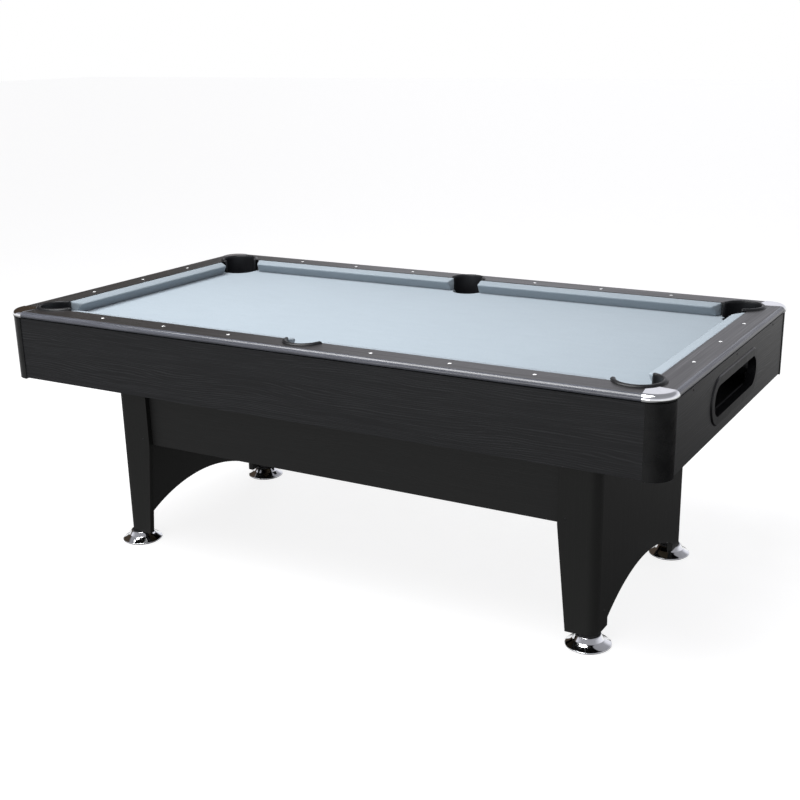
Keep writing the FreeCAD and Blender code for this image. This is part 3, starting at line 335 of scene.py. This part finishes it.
def cloth_look(name, color, nap_axis):
    """Napped pool cloth: dense fibres, a faint nap along the table and slow shade changes."""
    look = Look(
        name, color, 0.95, Sheen_Weight=0.25, Sheen_Roughness=0.45, Sheen_Tint=(0.9, 0.95, 1.0, 1.0),
        Specular_IOR_Level=0.15,
    )
    fibre = look.noise(along(nap_axis, 700.0, 1500.0), detail=4.0, roughness=0.7)
    nap = look.noise(along(nap_axis, 10.0, 46.0), detail=5.0, roughness=0.6)
    slow = look.noise(2.6, detail=3.0)
    darker = tuple(channel * 0.80 for channel in color)
    paler = tuple(min(channel * 1.12 + 0.01, 1.0) for channel in color)
    tone = look.blend(look.fit(fibre, 0.3, 0.7), darker, paler)
    tone = look.blend(look.fit(nap, 0.35, 0.70, 0.0, 0.22), tone, darker)
    look.color(look.blend(look.fit(slow, 0.3, 0.7, 0.0, 0.14), tone, darker))
    look.bump(fibre, 0.0004, 0.55)
    look.bump(nap, 0.0003, 0.4)
    return look.material


def chrome_look(name):
    """Plated metal with a light haze and fine wipe marks."""
    look = Look(name, (0.86, 0.87, 0.88), 0.07, Metallic=1.0)
    haze = look.noise(38.0, detail=5.0, roughness=0.6)
    wipes = look.noise((60.0, 400.0, 400.0), detail=3.0)
    dulled = look.fit(haze, 0.4, 0.75, 0.035, 0.12)
    look.roughness(look.calc("ADD", dulled, look.fit(wipes, 0.5, 0.8, 0.0, 0.05)))
    look.color(look.blend(look.fit(haze, 0.3, 0.8), (0.90, 0.91, 0.92), (0.76, 0.77, 0.79)))
    look.bump(look.noise(16.0, detail=2.0), 0.00010)
    return look.material


def steel_look(name):
    """Zinc plate: spangled, pale and dull."""
    look = Look(name, (0.55, 0.56, 0.55), 0.38, Metallic=1.0)
    cells = look.node("TexVoronoi", {"Vector": look.place(), "Scale": 160.0}).outputs["Color"]
    spangle = look.node("SeparateColor", {0: cells}).outputs[0]
    look.color(look.blend(spangle, (0.46, 0.47, 0.46), (0.64, 0.64, 0.61)))
    look.roughness(look.fit(spangle, 0.0, 1.0, 0.28, 0.48))
    look.bump(look.noise(400.0), 0.00005)
    return look.material


def board_look(name, base, chip):
    """Particle board: pressed chips of several tones, or the same painted over."""
    look = Look(name, base, 0.82)
    cells = look.node("TexVoronoi", {"Vector": look.stretched((260.0, 260.0, 130.0)), "Scale": 1.0})
    tone = look.node("SeparateColor", {0: cells.outputs["Color"]}).outputs[0]
    uneven = look.fit(look.noise(30.0), 0.3, 0.7, 0.4, 1.0)
    look.color(look.blend(look.calc("MULTIPLY", tone, uneven), base, chip))
    look.bump(cells.outputs["Distance"], 0.00030, 0.5)
    look.bump(look.noise(90.0, detail=5.0), 0.0002, 0.5)
    return look.material


def liner_look(name):
    """Moulded rubber with a satin collar, matt inside the bowl where dust and chalk settle."""
    bowl_top = BED_TOP - 0.004
    look = Look(name, (0.0075, 0.0078, 0.0088), 0.44)
    clouds = look.noise(14.0, detail=3.0)
    look.color(look.blend(look.fit(clouds, 0.35, 0.75), (0.0065, 0.0068, 0.0078), (0.0120, 0.0124, 0.0138)))
    height = look.axes()[2]
    gloss = look.fit(height, bowl_top, RAIL_TOP, 0.02, 0.22)
    look.tree.links.new(gloss, look.shader.inputs["Specular IOR Level"])
    marks = look.fit(look.noise(45.0, detail=4.0), 0.3, 0.7, -0.05, 0.05)
    look.roughness(look.calc("ADD", look.fit(height, bowl_top, BED_TOP, 0.85, 0.36), marks))
    look.bump(look.noise(700.0, detail=2.0), 0.00008)
    return look.material


def rubber_look(name):
    look = Look(name, (0.018, 0.018, 0.019), 0.72)
    look.color(look.blend(look.noise(60.0), (0.013, 0.013, 0.014), (0.034, 0.033, 0.033)))
    look.bump(look.noise(520.0, detail=3.0), 0.00012)
    return look.material


def pearl_look(name):
    """White inlay with faint swirls."""
    look = Look(name, (0.82, 0.82, 0.80), 0.22, Coat_Weight=0.4)
    swirl = look.noise(330.0, detail=3.0, distortion=1.5)
    look.color(look.blend(swirl, (0.90, 0.90, 0.89), (0.70, 0.71, 0.72)))
    look.roughness(look.fit(swirl, 0.3, 0.7, 0.16, 0.32))
    return look.material


def floor_look(name):
    """Pale seamless studio floor, lit a little from below like a light table."""
    look = Look(name, (0.30, 0.30, 0.30), 0.7, Emission_Color=(1, 1, 1, 1), Emission_Strength=0.84)
    look.color(look.blend(look.noise(1.3, detail=3.0), (0.29, 0.29, 0.29), (0.31, 0.31, 0.31)))
    look.roughness(look.fit(look.noise(9.0), 0.3, 0.7, 0.6, 0.8))
    return look.material


# The axes a grain or a nap can run along.
ALONG, ACROSS, UPRIGHT = 0, 1, 2
CLOTH_COLOR = (0.278, 0.325, 0.362)

# The nap lies another way on each cushion, and each cushion's cloth colour is scaled by a painted shade,
# darker on the left end and lighter on the right end, for how the light falls on it.
CUSHION_PAINTED_SHADES = {"long": (ALONG, 0.84), "left": (ACROSS, 0.72), "right": (ACROSS, 1.04)}

APRON_LONG = laminate("apron_grain_long", ALONG, (0.0078, 0.0081, 0.0089), (0.0300, 0.0310, 0.0335), 0.44)
APRON_END = laminate(
    "apron_grain_end", ACROSS, (0.0080, 0.0083, 0.0092), (0.0240, 0.0248, 0.0270), 0.33, gloss=0.6
)
LOOKS = {
    "rail_x": rail_laminate("rail_wrap_long", ALONG),
    "rail_y": rail_laminate("rail_wrap_end", ACROSS),
    "apron_x": chipped(APRON_LONG).material,
    "apron_y": chipped(APRON_END).material,
    "leg_z": laminate(
        "leg_grain_upright", UPRIGHT, (0.0125, 0.0128, 0.0120), (0.0195, 0.0198, 0.0186), 0.42,
        figure_share=0.3,
    ).material,
    "leg_x": laminate(
        "stretcher_grain", ALONG, (0.0160, 0.0163, 0.0158), (0.0240, 0.0244, 0.0238), 0.44,
        figure_share=0.4,
    ).material,
    "post": plastic("post_plastic", (0.0060, 0.0062, 0.0063), 0.20, 600.0, 0.00003),
    "bezel": plastic("bezel_plastic", (0.0060, 0.0062, 0.0070), 0.34),
    "liner": liner_look("pocket_rubber"),
    "gully": plastic("gully_plastic", (0.012, 0.012, 0.013), 0.45),
    "cloth": cloth_look("napped_cloth", CLOTH_COLOR, ALONG),
    "chrome": chrome_look("plated_chrome"),
    "steel": steel_look("zinc_plate"),
    "chipboard": board_look("particle_board", (0.34, 0.26, 0.17), (0.58, 0.47, 0.33)),
    "black_board": board_look("painted_board", (0.010, 0.010, 0.011), (0.019, 0.019, 0.020)),
    "rubber": rubber_look("pad_rubber"),
    "pearl": pearl_look("sight_inlay"),
    "screw": plastic("screw_black", (0.010, 0.010, 0.011), 0.30),
    "floor": floor_look("studio_floor"),
}
# Painted shade: each cushion gets a lighter or darker copy of the same cloth colour.
for side_name, (nap, painted_shade) in CUSHION_PAINTED_SHADES.items():
    cloth_with_painted_shade = tuple(painted_shade * channel for channel in CLOTH_COLOR)
    LOOKS["cushion_" + side_name] = cloth_look("cushion_cloth_painted_shade_" + side_name, cloth_with_painted_shade, nap)


def paint(look, *nodes):
    """Give CAD nodes a material."""
    for name in nodes:
        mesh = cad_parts[name].data
        mesh.materials.clear()
        mesh.materials.append(LOOKS[look])


def paint_frame():
    """Materials of every CAD node that stays in view."""
    corners = [f"{row}_{side}" for _, row in ROWS for _, side in SIDES]
    paint("rail_x", "rail_front", "rail_back")
    paint("rail_y", "rail_left_end", "rail_right_end")
    paint("chrome", *[f"corner_cap_{corner}" for corner in corners])
    paint("chipboard", "playfield_bed")
    paint("apron_x", "apron_front", "apron_back")
    paint("apron_y", "apron_left_end", "apron_right_end")
    paint("post", *[f"corner_post_{corner}" for corner in corners])
    paint("bezel", "window_bezel")
    paint("black_board", "ball_box", "bed_frame_front", "bed_frame_back", "bed_beam_left", "bed_beam_right")
    paint("black_board", "leg_corner_blocks")
    paint("gully", "gully_front", "gully_back")
    paint("leg_z", *[f"leg_side_{corner}" for corner in corners], "leg_end_panel_left", "leg_end_panel_right")
    paint("leg_x", "stretcher_front", "stretcher_back")
    paint("steel", "leg_insert_nuts", "rail_bolts", "steel_brackets")
    paint("rubber", *[f"foot_pad_{corner}" for corner in corners])


# Cushions. The profile is (distance from the rail, height from the rail top).

NOSE_Z = -0.0100
CUSHION_PROFILE = (
    (0.0000, -0.0400), (0.0190, -0.0402), (0.0235, -0.0335), (0.0290, -0.0258), (0.0345, -0.0180),
    (0.0372, -0.0143), (0.0385, -0.0122), (0.0390, NOSE_Z), (0.0384, -0.0082), (0.0366, -0.0068),
    (0.0320, -0.0056), (0.0240, -0.0040), (0.0150, -0.0024), (0.0070, -0.0013), (0.0028, -0.0011),
    (0.0010, -0.0021), (0.0000, -0.0045),
)
# The rounding of each end, and the small pleats where the cloth is folded over it.
END_ROUND = 0.0055
ROUND_STEPS = 6
CREASE = 0.0006
CREASE_TURN = 2.4
LEAST_REACH = 0.1
# Rings that keep the long middle straight, by their distance from an end.
MIDDLE_RINGS = (0.03, 0.08, 0.13)
# How far the nose is cut back beside the pockets, and how far a cushion passes the CAD's at a corner.
CORNER_CUT, SIDE_CUT = 0.020, 0.005
CORNER_STRETCH = 0.006


def cushion(name, look, place, heel, nose):
    """Cloth-covered rubber lofted along a rail. place(along, depth, height) gives a point in the frame,
    and heel and nose are the two ends of the cushion at the rail and at its nose."""
    centre = (
        sum(depth for depth, _ in CUSHION_PROFILE) / len(CUSHION_PROFILE),
        sum(height for _, height in CUSHION_PROFILE) / len(CUSHION_PROFILE),
    )
    stations = []
    for step in range(ROUND_STEPS + 1):
        turn = math.radians(90) * step / ROUND_STEPS
        stations.append((END_ROUND * (1 - math.cos(turn)), END_ROUND * (1 - math.sin(turn))))
    middle = [(distance, 0.0) for distance in MIDDLE_RINGS]

    def ring(end, offset, inset):
        direction = 1 if end == 0 else -1
        points = []
        for index, (depth, height) in enumerate(CUSHION_PROFILE):
            away_depth, away_height = depth - centre[0], height - centre[1]
            reach = math.hypot(away_depth, away_height)
            pleat = CREASE * math.sin(index * CREASE_TURN + end) * inset / END_ROUND
            shrink = 1 - min(inset + pleat, reach * (1 - LEAST_REACH)) / reach
            new_depth = centre[0] + away_depth * shrink
            new_height = centre[1] + away_height * shrink
            limit = between(heel[end], nose[end], max(new_depth, 0) / CUSHION_DEPTH)
            points.append(place(limit + direction * offset, new_depth, RAIL_TOP + new_height))
        return points

    rings = [ring(0, offset, inset) for offset, inset in stations + middle]
    rings += [ring(1, offset, inset) for offset, inset in reversed(stations + middle)]
    shape = Shape()
    shape.loft(rings)
    thing = shape.make("cushion_cloth_" + name, "table", LOOKS[look], angle=50)
    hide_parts("cushion_" + name)


def make_cushions():
    """Two cushions along each long rail and one at each end, cut back at the nose beside the pockets."""
    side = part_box("cushion_back_right")
    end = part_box("cushion_right_end")
    for sy, row in ROWS:
        for sx, name in SIDES:
            def place(distance, depth, height, sx=sx, sy=sy):
                return (sx * distance, sy * (RAIL_INNER_Y - depth), height)
            heel = (side[0][0], side[1][0] + CORNER_STRETCH)
            nose = (heel[0] + SIDE_CUT, heel[1] - CORNER_CUT)
            cushion(f"{row}_{name}", "cushion_long", place, heel, nose)
    for sx, name in SIDES:
        def place(distance, depth, height, sx=sx):
            return (sx * (RAIL_INNER_X - depth), distance, height)
        heel = (end[0][1] - CORNER_STRETCH, end[1][1] + CORNER_STRETCH)
        nose = (heel[0] + CORNER_CUT, heel[1] - CORNER_CUT)
        cushion(f"{name}_end", "cushion_" + name, place, heel, nose)


# Pockets and the bed cloth. The collar's profile is (distance from the bore, height from the rail top).

WALL = 0.0035
CORNER_BORE, SIDE_BORE = 0.0560, 0.0490
# From the bore to the outside of the collar: in the CAD, and here.
CAD_COLLAR_REACH, LIP_WIDTH = 0.0125, 0.0135
# Half the arc of a collar. Its last few degrees are replaced by a tip that runs on straight, spreads
# outwards, leans over and narrows.
CORNER_ARC, SIDE_ARC = 125, 90
ARC_STEPS = 56
TIP_ARC = 9
FLARE, SPREAD, TIP_LEAN = 0.010, 0.0055, 28
TIP_SHARES = (0.35, 0.65, 0.85, 0.96, 1.0)
LIP_FOOT = -0.0050
THROAT = 0.042
BOWL_STEPS = 8
BOWL_CURVE = 1.4
BOWL_SEGMENTS = 72
COLLAR_PROFILE = (
    (0.0000, -0.0420), (0.0000, -0.0300), (0.0001, -0.0060), (-0.0002, -0.0010), (0.0000, 0.0026),
    (0.0011, 0.0047), (0.0031, 0.0059), (0.0058, 0.0060), (0.0088, 0.0053), (0.0113, 0.0038),
    (0.0130, 0.0018), (0.0135, 0.0002), (0.0128, -0.0002), (0.0075, -0.0003), (0.0035, -0.0006),
    (0.0035, -0.0300), (0.0035, -0.0420),
)


def pocket_places():
    """Each pocket's node, centre, heading, bore and half the arc of its collar, in degrees."""
    places = []
    for sy, row in ROWS:
        for sx, side in SIDES:
            low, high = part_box(f"pocket_liner_{row}_{side}")
            outer = CORNER_BORE + CAD_COLLAR_REACH
            x = sx * (max(abs(low[0]), abs(high[0])) - outer)
            y = sy * (max(abs(low[1]), abs(high[1])) - outer)
            places.append((f"pocket_liner_{row}_{side}", x, y, math.atan2(sy, sx), CORNER_BORE, CORNER_ARC))
        low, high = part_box(f"pocket_liner_{row}_side")
        outer = SIDE_BORE + CAD_COLLAR_REACH
        y = sy * (max(abs(low[1]), abs(high[1])) - outer)
        places.append((f"pocket_liner_{row}_side", 0.0, y, math.atan2(sy, 0), SIDE_BORE, SIDE_ARC))
    return places


def collar_stations(x, y, heading, bore, half_angle):
    """Points along the inside of a collar, each with its outward direction and a width factor."""
    stations = []
    half = math.radians(half_angle - TIP_ARC)
    for step in range(ARC_STEPS + 1):
        turn = heading - half + 2 * half * step / ARC_STEPS
        out = Vector((math.cos(turn), math.sin(turn), 0))
        stations.append((Vector((x, y, 0)) + out * bore, out, 1.0))
    tips = []
    for sign, (point, out, _) in ((-1, stations[0]), (1, stations[-1])):
        tangent = Vector((-out.y, out.x, 0)) * sign
        tip = []
        for share in TIP_SHARES:
            lean = Matrix.Rotation(-sign * math.radians(TIP_LEAN) * share, 3, "Z")
            width = math.sqrt(max(1 - share ** 4, 0.02))
            tip.append((point + tangent * FLARE * share + out * SPREAD * share ** 2, lean @ out, width))
        tips.append(tip)
    return list(reversed(tips[0])) + stations + tips[1]


def collar_ring(point, out, width):
    """One section of the collar, narrowed and lowered about its middle by the width factor."""
    middle = LIP_WIDTH * 0.45
    ring = []
    for offset, height in COLLAR_PROFILE:
        pushed = middle + (offset - middle) * width if height > LIP_FOOT else offset
        rise = height * width if height > 0 else height
        spot = point + out * pushed
        ring.append((spot.x, spot.y, RAIL_TOP + rise))
    return ring


def bowl_section(bore):
    """Section of the bowl below the bed, as (radius, height), down the inside and up the outside."""
    section = [(bore + WALL, BED_TOP), (bore, BED_TOP), (bore, BED_BOTTOM + 0.004)]
    for step in range(BOWL_STEPS + 1):
        turn = step / BOWL_STEPS * math.pi / 2
        radius = between(bore, THROAT, 1 - math.cos(turn))
        drop = math.sin(turn) ** BOWL_CURVE
        section.append((radius, between(BED_BOTTOM + 0.002, LINER_FOOT + 0.002, drop)))
    section += [(THROAT, LINER_FOOT), (THROAT + WALL, LINER_FOOT)]
    for step in range(BOWL_STEPS + 1):
        share = 1 - step / BOWL_STEPS
        radius = between(bore + WALL, THROAT + WALL, share)
        section.append((radius, between(BED_BOTTOM, LINER_FOOT + 0.001, share)))
    return section


def pocket_liner(node, x, y, heading, bore, half_angle):
    """A moulded liner: rounded collar and wall round the rail side, and a bowl below the bed."""
    shape = Shape()
    stations = collar_stations(x, y, heading, bore, half_angle)
    shape.loft([collar_ring(*station) for station in stations])
    section = bowl_section(bore)
    rings = []
    for step in range(BOWL_SEGMENTS):
        turn = math.tau * step / BOWL_SEGMENTS
        rings.append([(x + r * math.cos(turn), y + r * math.sin(turn), z) for r, z in section])
    shape.loft(rings, around=True)
    thing = shape.make(node.replace("liner", "moulding"), "table", LOOKS["liner"], angle=40)
    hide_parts(node)


CUT_STEPS = 64
# The part of the sheet under each rail, and its edge rolled over into a pocket and hanging down.
EDGE_RADIUS, EDGE_DROP = 0.0045, 0.012
EDGE_GAP = 0.0006
EDGE_STEPS = 6
MOUTH_STEPS = 32
FRAY, FRAY_TURN = 0.0006, 5.3


def cloth_outline(pockets):
    """The bed cloth between the rails, anticlockwise, with an arc cut out at every pocket."""
    outline = []
    for _, x, y, heading, bore, _ in sorted(pockets, key=lambda pocket: pocket[3] % math.tau):
        radius = bore + WALL
        reach = math.acos((RAIL_INNER_Y - abs(y)) / radius)
        if x:
            reach += math.radians(45)
        for step in range(CUT_STEPS + 1):
            turn = heading + math.tau - reach - 2 * (math.pi - reach) * step / CUT_STEPS
            outline.append((x + radius * math.cos(turn), y + radius * math.sin(turn), CLOTH_TOP))
    return outline


def make_bed_cloth(pockets):
    """Cloth stretched over the bed, with its cut edges rolled down into the pocket mouths."""
    shape = Shape()
    shape.points = cloth_outline(pockets)
    shape.faces = [tuple(range(len(shape.points)))]
    for _, x, y, heading, bore, half_angle in pockets:
        shape.loft(cloth_lip(x, y, heading, bore, half_angle), closed=False, caps=False)
    thing = shape.make("bed_cloth_stretched", "table", LOOKS["cloth"], angle=60)
    for polygon in thing.data.polygons:
        if polygon.normal.z < -0.5:
            polygon.flip()
    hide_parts("bed_cloth")


def cloth_lip(x, y, heading, bore, half_angle):
    """The cloth's edge rolled over and down into a pocket, across its mouth."""
    mouth = math.pi - math.radians(half_angle)
    section = [(bore + WALL, 0.0)]
    for step in range(EDGE_STEPS + 1):
        turn = math.radians(90) * step / EDGE_STEPS
        radius = bore - EDGE_GAP + EDGE_RADIUS * (1 - math.sin(turn))
        section.append((radius, -EDGE_RADIUS * (1 - math.cos(turn))))
    section.append((bore - EDGE_GAP, -EDGE_RADIUS - EDGE_DROP))
    rings = []
    for step in range(MOUTH_STEPS + 1):
        turn = heading + math.pi - mouth + 2 * mouth * step / MOUTH_STEPS
        fray = FRAY * math.sin(step * FRAY_TURN)
        ring = []
        for radius, height in section:
            ragged = fray if height < -EDGE_DROP else 0
            edge = (x + radius * math.cos(turn), y + radius * math.sin(turn))
            ring.append((*edge, CLOTH_TOP + height + ragged))
        rings.append(ring)
    return rings


# Feet, screws and sights. A foot's heights are from the floor, but for its rim's, from its own underside.

FOOT_SEGMENTS = 96
RIM_RADIUS, RIM_TOP = 0.0620, 0.0047
CONE_RADIUS, CONE_TOP, CONE_SAG = 0.0448, 0.0198, 0.0007
CONE_STEPS = 8
SOCKET_FLOOR = 0.0285
THREAD_START = 0.0280
THREAD_PITCH = 0.0015
THREAD_DEPTH = 0.0006
THREAD_COLUMNS, ROWS_PER_TURN = 24, 6
STUD_RADIUS = 0.005


def foot_profile(low):
    """Outline of the bell foot from under its rim, over the cone and neck, to the stud in its socket."""
    outline = [(0.0600, low), (0.0632, low + 0.0001), (0.0643, low + 0.0010), (0.0645, low + 0.0022)]
    outline += [(0.0643, low + 0.0032), (0.0635, low + 0.0040), (RIM_RADIUS, low + RIM_TOP)]
    for step in range(1, CONE_STEPS + 1):
        share = step / CONE_STEPS
        sag = CONE_SAG * math.sin(share * math.pi)
        height = between(low + RIM_TOP, CONE_TOP, share) - sag
        outline.append((between(RIM_RADIUS, CONE_RADIUS, share), height))
    outline += [(0.0440, 0.0203), (0.0434, 0.0212), (0.0418, 0.0238), (0.0398, 0.0270), (0.0378, 0.0302)]
    outline += [(0.0358, 0.0334), (0.0350, 0.0343), (0.0338, 0.0347), (0.0320, 0.0347), (0.0314, 0.0338)]
    outline += [(0.0306, 0.0300), (0.0120, SOCKET_FLOOR), (STUD_RADIUS, SOCKET_FLOOR)]
    return outline


def threaded_stud(shape, x, y, low, high):
    """A round bar with a helical thread."""
    rows = int((high - low) / THREAD_PITCH * ROWS_PER_TURN)
    rings = []
    for row in range(rows + 1):
        height = between(low, high, row / rows)
        ring = []
        for column in range(THREAD_COLUMNS):
            turn = math.tau * column / THREAD_COLUMNS
            phase = (height / THREAD_PITCH - column / THREAD_COLUMNS) % 1
            radius = STUD_RADIUS - THREAD_DEPTH * abs(2 * phase - 1)
            ring.append((x + radius * math.cos(turn), y + radius * math.sin(turn), height))
        rings.append(ring)
    shape.loft(rings)


def make_feet():
    """A bell foot and its stud at every corner, on the body that turns."""
    for _, row in ROWS:
        for _, side in SIDES:
            node = f"levelling_foot_{row}_{side}"
            low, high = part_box(node)
            x, y = (low[0] + high[0]) / 2, (low[1] + high[1]) / 2
            shape = Shape()
            shape.lathe(foot_profile(low[2]), (x, y), FOOT_SEGMENTS)
            threaded_stud(shape, x, y, THREAD_START, high[2])
            thing = shape.make(f"bell_foot_{row}_{side}", f"foot_{row}_{side}", LOOKS["chrome"], angle=48)
            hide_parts(node)


SIGHT_PITCH, SIGHT_INSET = 0.236, 0.052
SIGHT_RADIUS = 0.005
SIGHT_SEGMENTS = 32
SIGHT_EDGE, SIGHT_DOME = 0.0003, 0.0003


def make_sights():
    """Low domed inlays in the rails, three along each half of a long rail and three across each end."""
    places = []
    for sign in (-1, 1):
        for count in (-3, -2, -1, 1, 2, 3):
            places.append((count * SIGHT_PITCH, sign * (WIDTH_HALF - SIGHT_INSET)))
        for count in (-1, 0, 1):
            places.append((sign * (LENGTH_HALF - SIGHT_INSET), count * SIGHT_PITCH))
    dome = [(SIGHT_RADIUS, RAIL_TOP - 0.0015), (SIGHT_RADIUS, RAIL_TOP + 0.0001)]
    dome.append((SIGHT_RADIUS * 0.97, RAIL_TOP + SIGHT_EDGE))
    for share in (0.8, 0.55, 0.25, 0.04):
        dome.append((SIGHT_RADIUS * share, RAIL_TOP + SIGHT_EDGE + SIGHT_DOME * (1 - share ** 2)))
    shape = Shape()
    for place in places:
        shape.lathe(dome, place, SIGHT_SEGMENTS, caps=True)
    thing = shape.make("sight_inlays", "table", LOOKS["pearl"], angle=50)
    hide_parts("rail_sights")


SCREW_RADIUS, SCREW_RISE, SCREW_LIFT = 0.0035, 0.0008, 0.0001
SCREW_SEGMENTS = 24
APRON_SCREW_Y, APRON_SCREW_Z = (-0.384, 0.0, 0.384), 0.771
LEG_SCREW_X, LEG_SCREW_Z = 0.734, 0.368
PANEL_SCREW_Y, PANEL_SCREW_Z = 0.310, 0.092


def make_screws():
    """Domed heads with a driver recess, each turned to face out of its panel."""
    apron_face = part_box("panel_screws")[1][0] - SCREW_RISE
    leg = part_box("leg_side_back_right")[1]
    profile = [(SCREW_RADIUS, -0.0010), (SCREW_RADIUS, 0.0002), (SCREW_RADIUS * 0.86, SCREW_RISE * 0.72)]
    profile += [(SCREW_RADIUS * 0.55, SCREW_RISE), (SCREW_RADIUS * 0.40, SCREW_RISE)]
    profile += [(SCREW_RADIUS * 0.30, SCREW_RISE * 0.2), (SCREW_RADIUS * 0.04, 0.0001)]
    places = []
    for sx, _ in SIDES:
        across = Vector((sx, 0, 0))
        places += [(Vector((sx * apron_face, y, APRON_SCREW_Z)), across) for y in APRON_SCREW_Y]
        for sy, _ in ROWS:
            on_side = Vector((sx * LEG_SCREW_X, sy * (leg[1] + SCREW_LIFT), LEG_SCREW_Z))
            on_panel = Vector((sx * (leg[0] + SCREW_LIFT), sy * PANEL_SCREW_Y, PANEL_SCREW_Z))
            places += [(on_side, Vector((0, sy, 0))), (on_panel, across)]
    shape = Shape()
    for spot, out in places:
        turn = out.to_track_quat("Z", "Y").to_matrix()
        rings = []
        for radius, height in profile:
            flat = round_points(0, 0, height, radius, SCREW_SEGMENTS)
            rings.append([spot + turn @ Vector(point) for point in flat])
        shape.loft(rings)
    thing = shape.make("panel_screw_heads", "table", LOOKS["screw"], angle=50)
    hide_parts("panel_screws")


FLOOR_REACH = 40.0


def make_floor():
    """A level floor that shows to the camera and takes shadows, but isn't mirrored in the table."""
    near, far = -FLOOR_REACH, FLOOR_REACH
    mesh = bpy.data.meshes.new("studio_floor")
    mesh.from_pydata([(near, near, 0), (far, near, 0), (far, far, 0), (near, far, 0)], [], [(0, 1, 2, 3)])
    mesh.materials.append(LOOKS["floor"])
    floor = bpy.data.objects.new("studio_floor", mesh)
    floor.visible_diffuse = False
    floor.visible_glossy = False
    bpy.context.collection.objects.link(floor)
    floor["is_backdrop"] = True


# Camera and light.

# Fitted to the photograph: the heading and tilt, then a slight roll about the line of sight.
CAMERA_PLACE = (1.8704, -3.1230, 1.5906)
CAMERA_TILT, CAMERA_HEADING, CAMERA_ROLL = 18.157, 29.377, -0.802
LENS, SHIFT_X, SHIFT_Y = 54.05, -0.0354, 0.0376


def make_camera():
    """The photograph's point of view."""
    data = bpy.data.cameras.new("view")
    data.lens = LENS
    data.shift_x = SHIFT_X
    data.shift_y = SHIFT_Y
    data.clip_end = 200.0
    camera = bpy.data.objects.new("view", data)
    turn = Euler((math.radians(90 - CAMERA_TILT), 0, math.radians(CAMERA_HEADING))).to_matrix()
    turn = turn @ Matrix.Rotation(math.radians(CAMERA_ROLL), 3, "Z")
    camera.matrix_world = Matrix.Translation(CAMERA_PLACE) @ turn.to_4x4()
    bpy.context.collection.objects.link(camera)
    bpy.context.scene.camera = camera


def soft_box(name, place, target, size, power):
    """A large area light that faces a point."""
    data = bpy.data.lights.new(name, "AREA")
    data.shape = "RECTANGLE"
    data.size, data.size_y = size
    data.energy = power
    light = bpy.data.objects.new(name, data)
    light.location = place
    light.rotation_euler = (Vector(target) - Vector(place)).to_track_quat("-Z", "Y").to_euler()
    light.visible_camera = False
    bpy.context.collection.objects.link(light)


# How bright the surround is by the height of the direction: -1 straight down, 0 level, 1 straight up.
SURROUND = (
    (-1.0, 0.02), (-0.40, 0.02), (-0.30, 0.06), (-0.22, 0.50), (-0.12, 0.90), (0.0, 1.0), (0.05, 1.0),
    (0.12, 0.88), (0.30, 0.80), (0.50, 0.34), (1.0, 0.26),
)
SKY_FROM, SKY_BLUE = 0.1, 1.08
WALL_TOWARDS, WALL_COLOR = (-0.90, 0.33, 0.28), (0.060, 0.045, 0.034, 1)
GLOW_TOWARDS, GLOW_COLOR = (-0.50, -0.86, 0.0), (0.34, 0.34, 0.34, 1)
BACKDROP_COLOR = (1, 1, 1, 1)


def make_world():
    """Studio surround: plain white as a backdrop, and for light and reflections bright at the horizon,
    dim overhead and below it, with a dark wall on one side and a soft glow low in front."""
    world = bpy.data.worlds.new("studio")
    bpy.context.scene.world = world
    world.use_nodes = True
    tree = world.node_tree
    place = add_node(tree, "TexCoord").outputs["Generated"]
    height = add_node(tree, "SeparateXYZ", {0: place}).outputs["Z"]

    def ranged(value, low, high):
        """0 to 1 as a value goes from low to high."""
        return add_node(tree, "MapRange", {"Value": value, "From Min": low, "From Max": high}).outputs[0]

    def patch(direction, low, high, inside):
        """The share of a round patch about a direction, times the share of the surround it is kept to."""
        turn = add_node(tree, "VectorMath", {0: place, 1: direction}, operation="DOT_PRODUCT")
        share = ranged(turn.outputs["Value"], low, high)
        return add_node(tree, "Math", {0: share, 1: inside}, operation="MULTIPLY").outputs[0]

    def mixed(share, first, second):
        inputs = {"Factor": share, MIX_FIRST: first, MIX_SECOND: second}
        return add_node(tree, "Mix", inputs, data_type="RGBA").outputs[MIX_RESULT]

    ramp = add_node(tree, "ValToRGB", {0: ranged(height, -1.0, 1.0)})
    elements = ramp.color_ramp.elements
    while len(elements) < len(SURROUND):
        elements.new(0.5)
    for element, (stop, level) in zip(elements, SURROUND):
        element.position = (stop + 1) / 2
        element.color = (level, level, level * (SKY_BLUE if stop > SKY_FROM else 1.0), 1)
    wall = patch(WALL_TOWARDS, 0.79, 0.87, ranged(height, 0.06, 0.10))
    glow = patch(GLOW_TOWARDS, 0.2, 0.8, ranged(height, -0.10, -0.20))
    walled = mixed(wall, ramp.outputs["Color"], WALL_COLOR)
    surround = mixed(glow, walled, GLOW_COLOR)
    to_camera = add_node(tree, "LightPath").outputs["Is Camera Ray"]
    color = mixed(to_camera, surround, BACKDROP_COLOR)
    tree.links.new(color, tree.nodes["Background"].inputs["Color"])


def make_lights():
    """The surround, a large soft box overhead and a low one that fills the front."""
    make_world()
    soft_box("overhead", (-0.6, -1.0, 3.4), (-0.1, 0, 0.8), (3.4, 2.0), 205)
    soft_box("front_fill", (-0.8, -6.0, 1.1), (0, 0, 0.5), (4.0, 1.6), 60)


make_camera()
make_lights()
make_floor()
paint_frame()
make_cushions()
POCKETS = pocket_places()
for pocket in POCKETS:
    pocket_liner(*pocket)
make_bed_cloth(POCKETS)
make_feet()
make_sights()
make_screws()
bpy.context.scene.view_settings.view_transform = "Standard"

boxes = {"cad": CAD_BOX, "visual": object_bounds()}
{name: [list(corner) for corner in ends] for name, ends in boxes.items()}
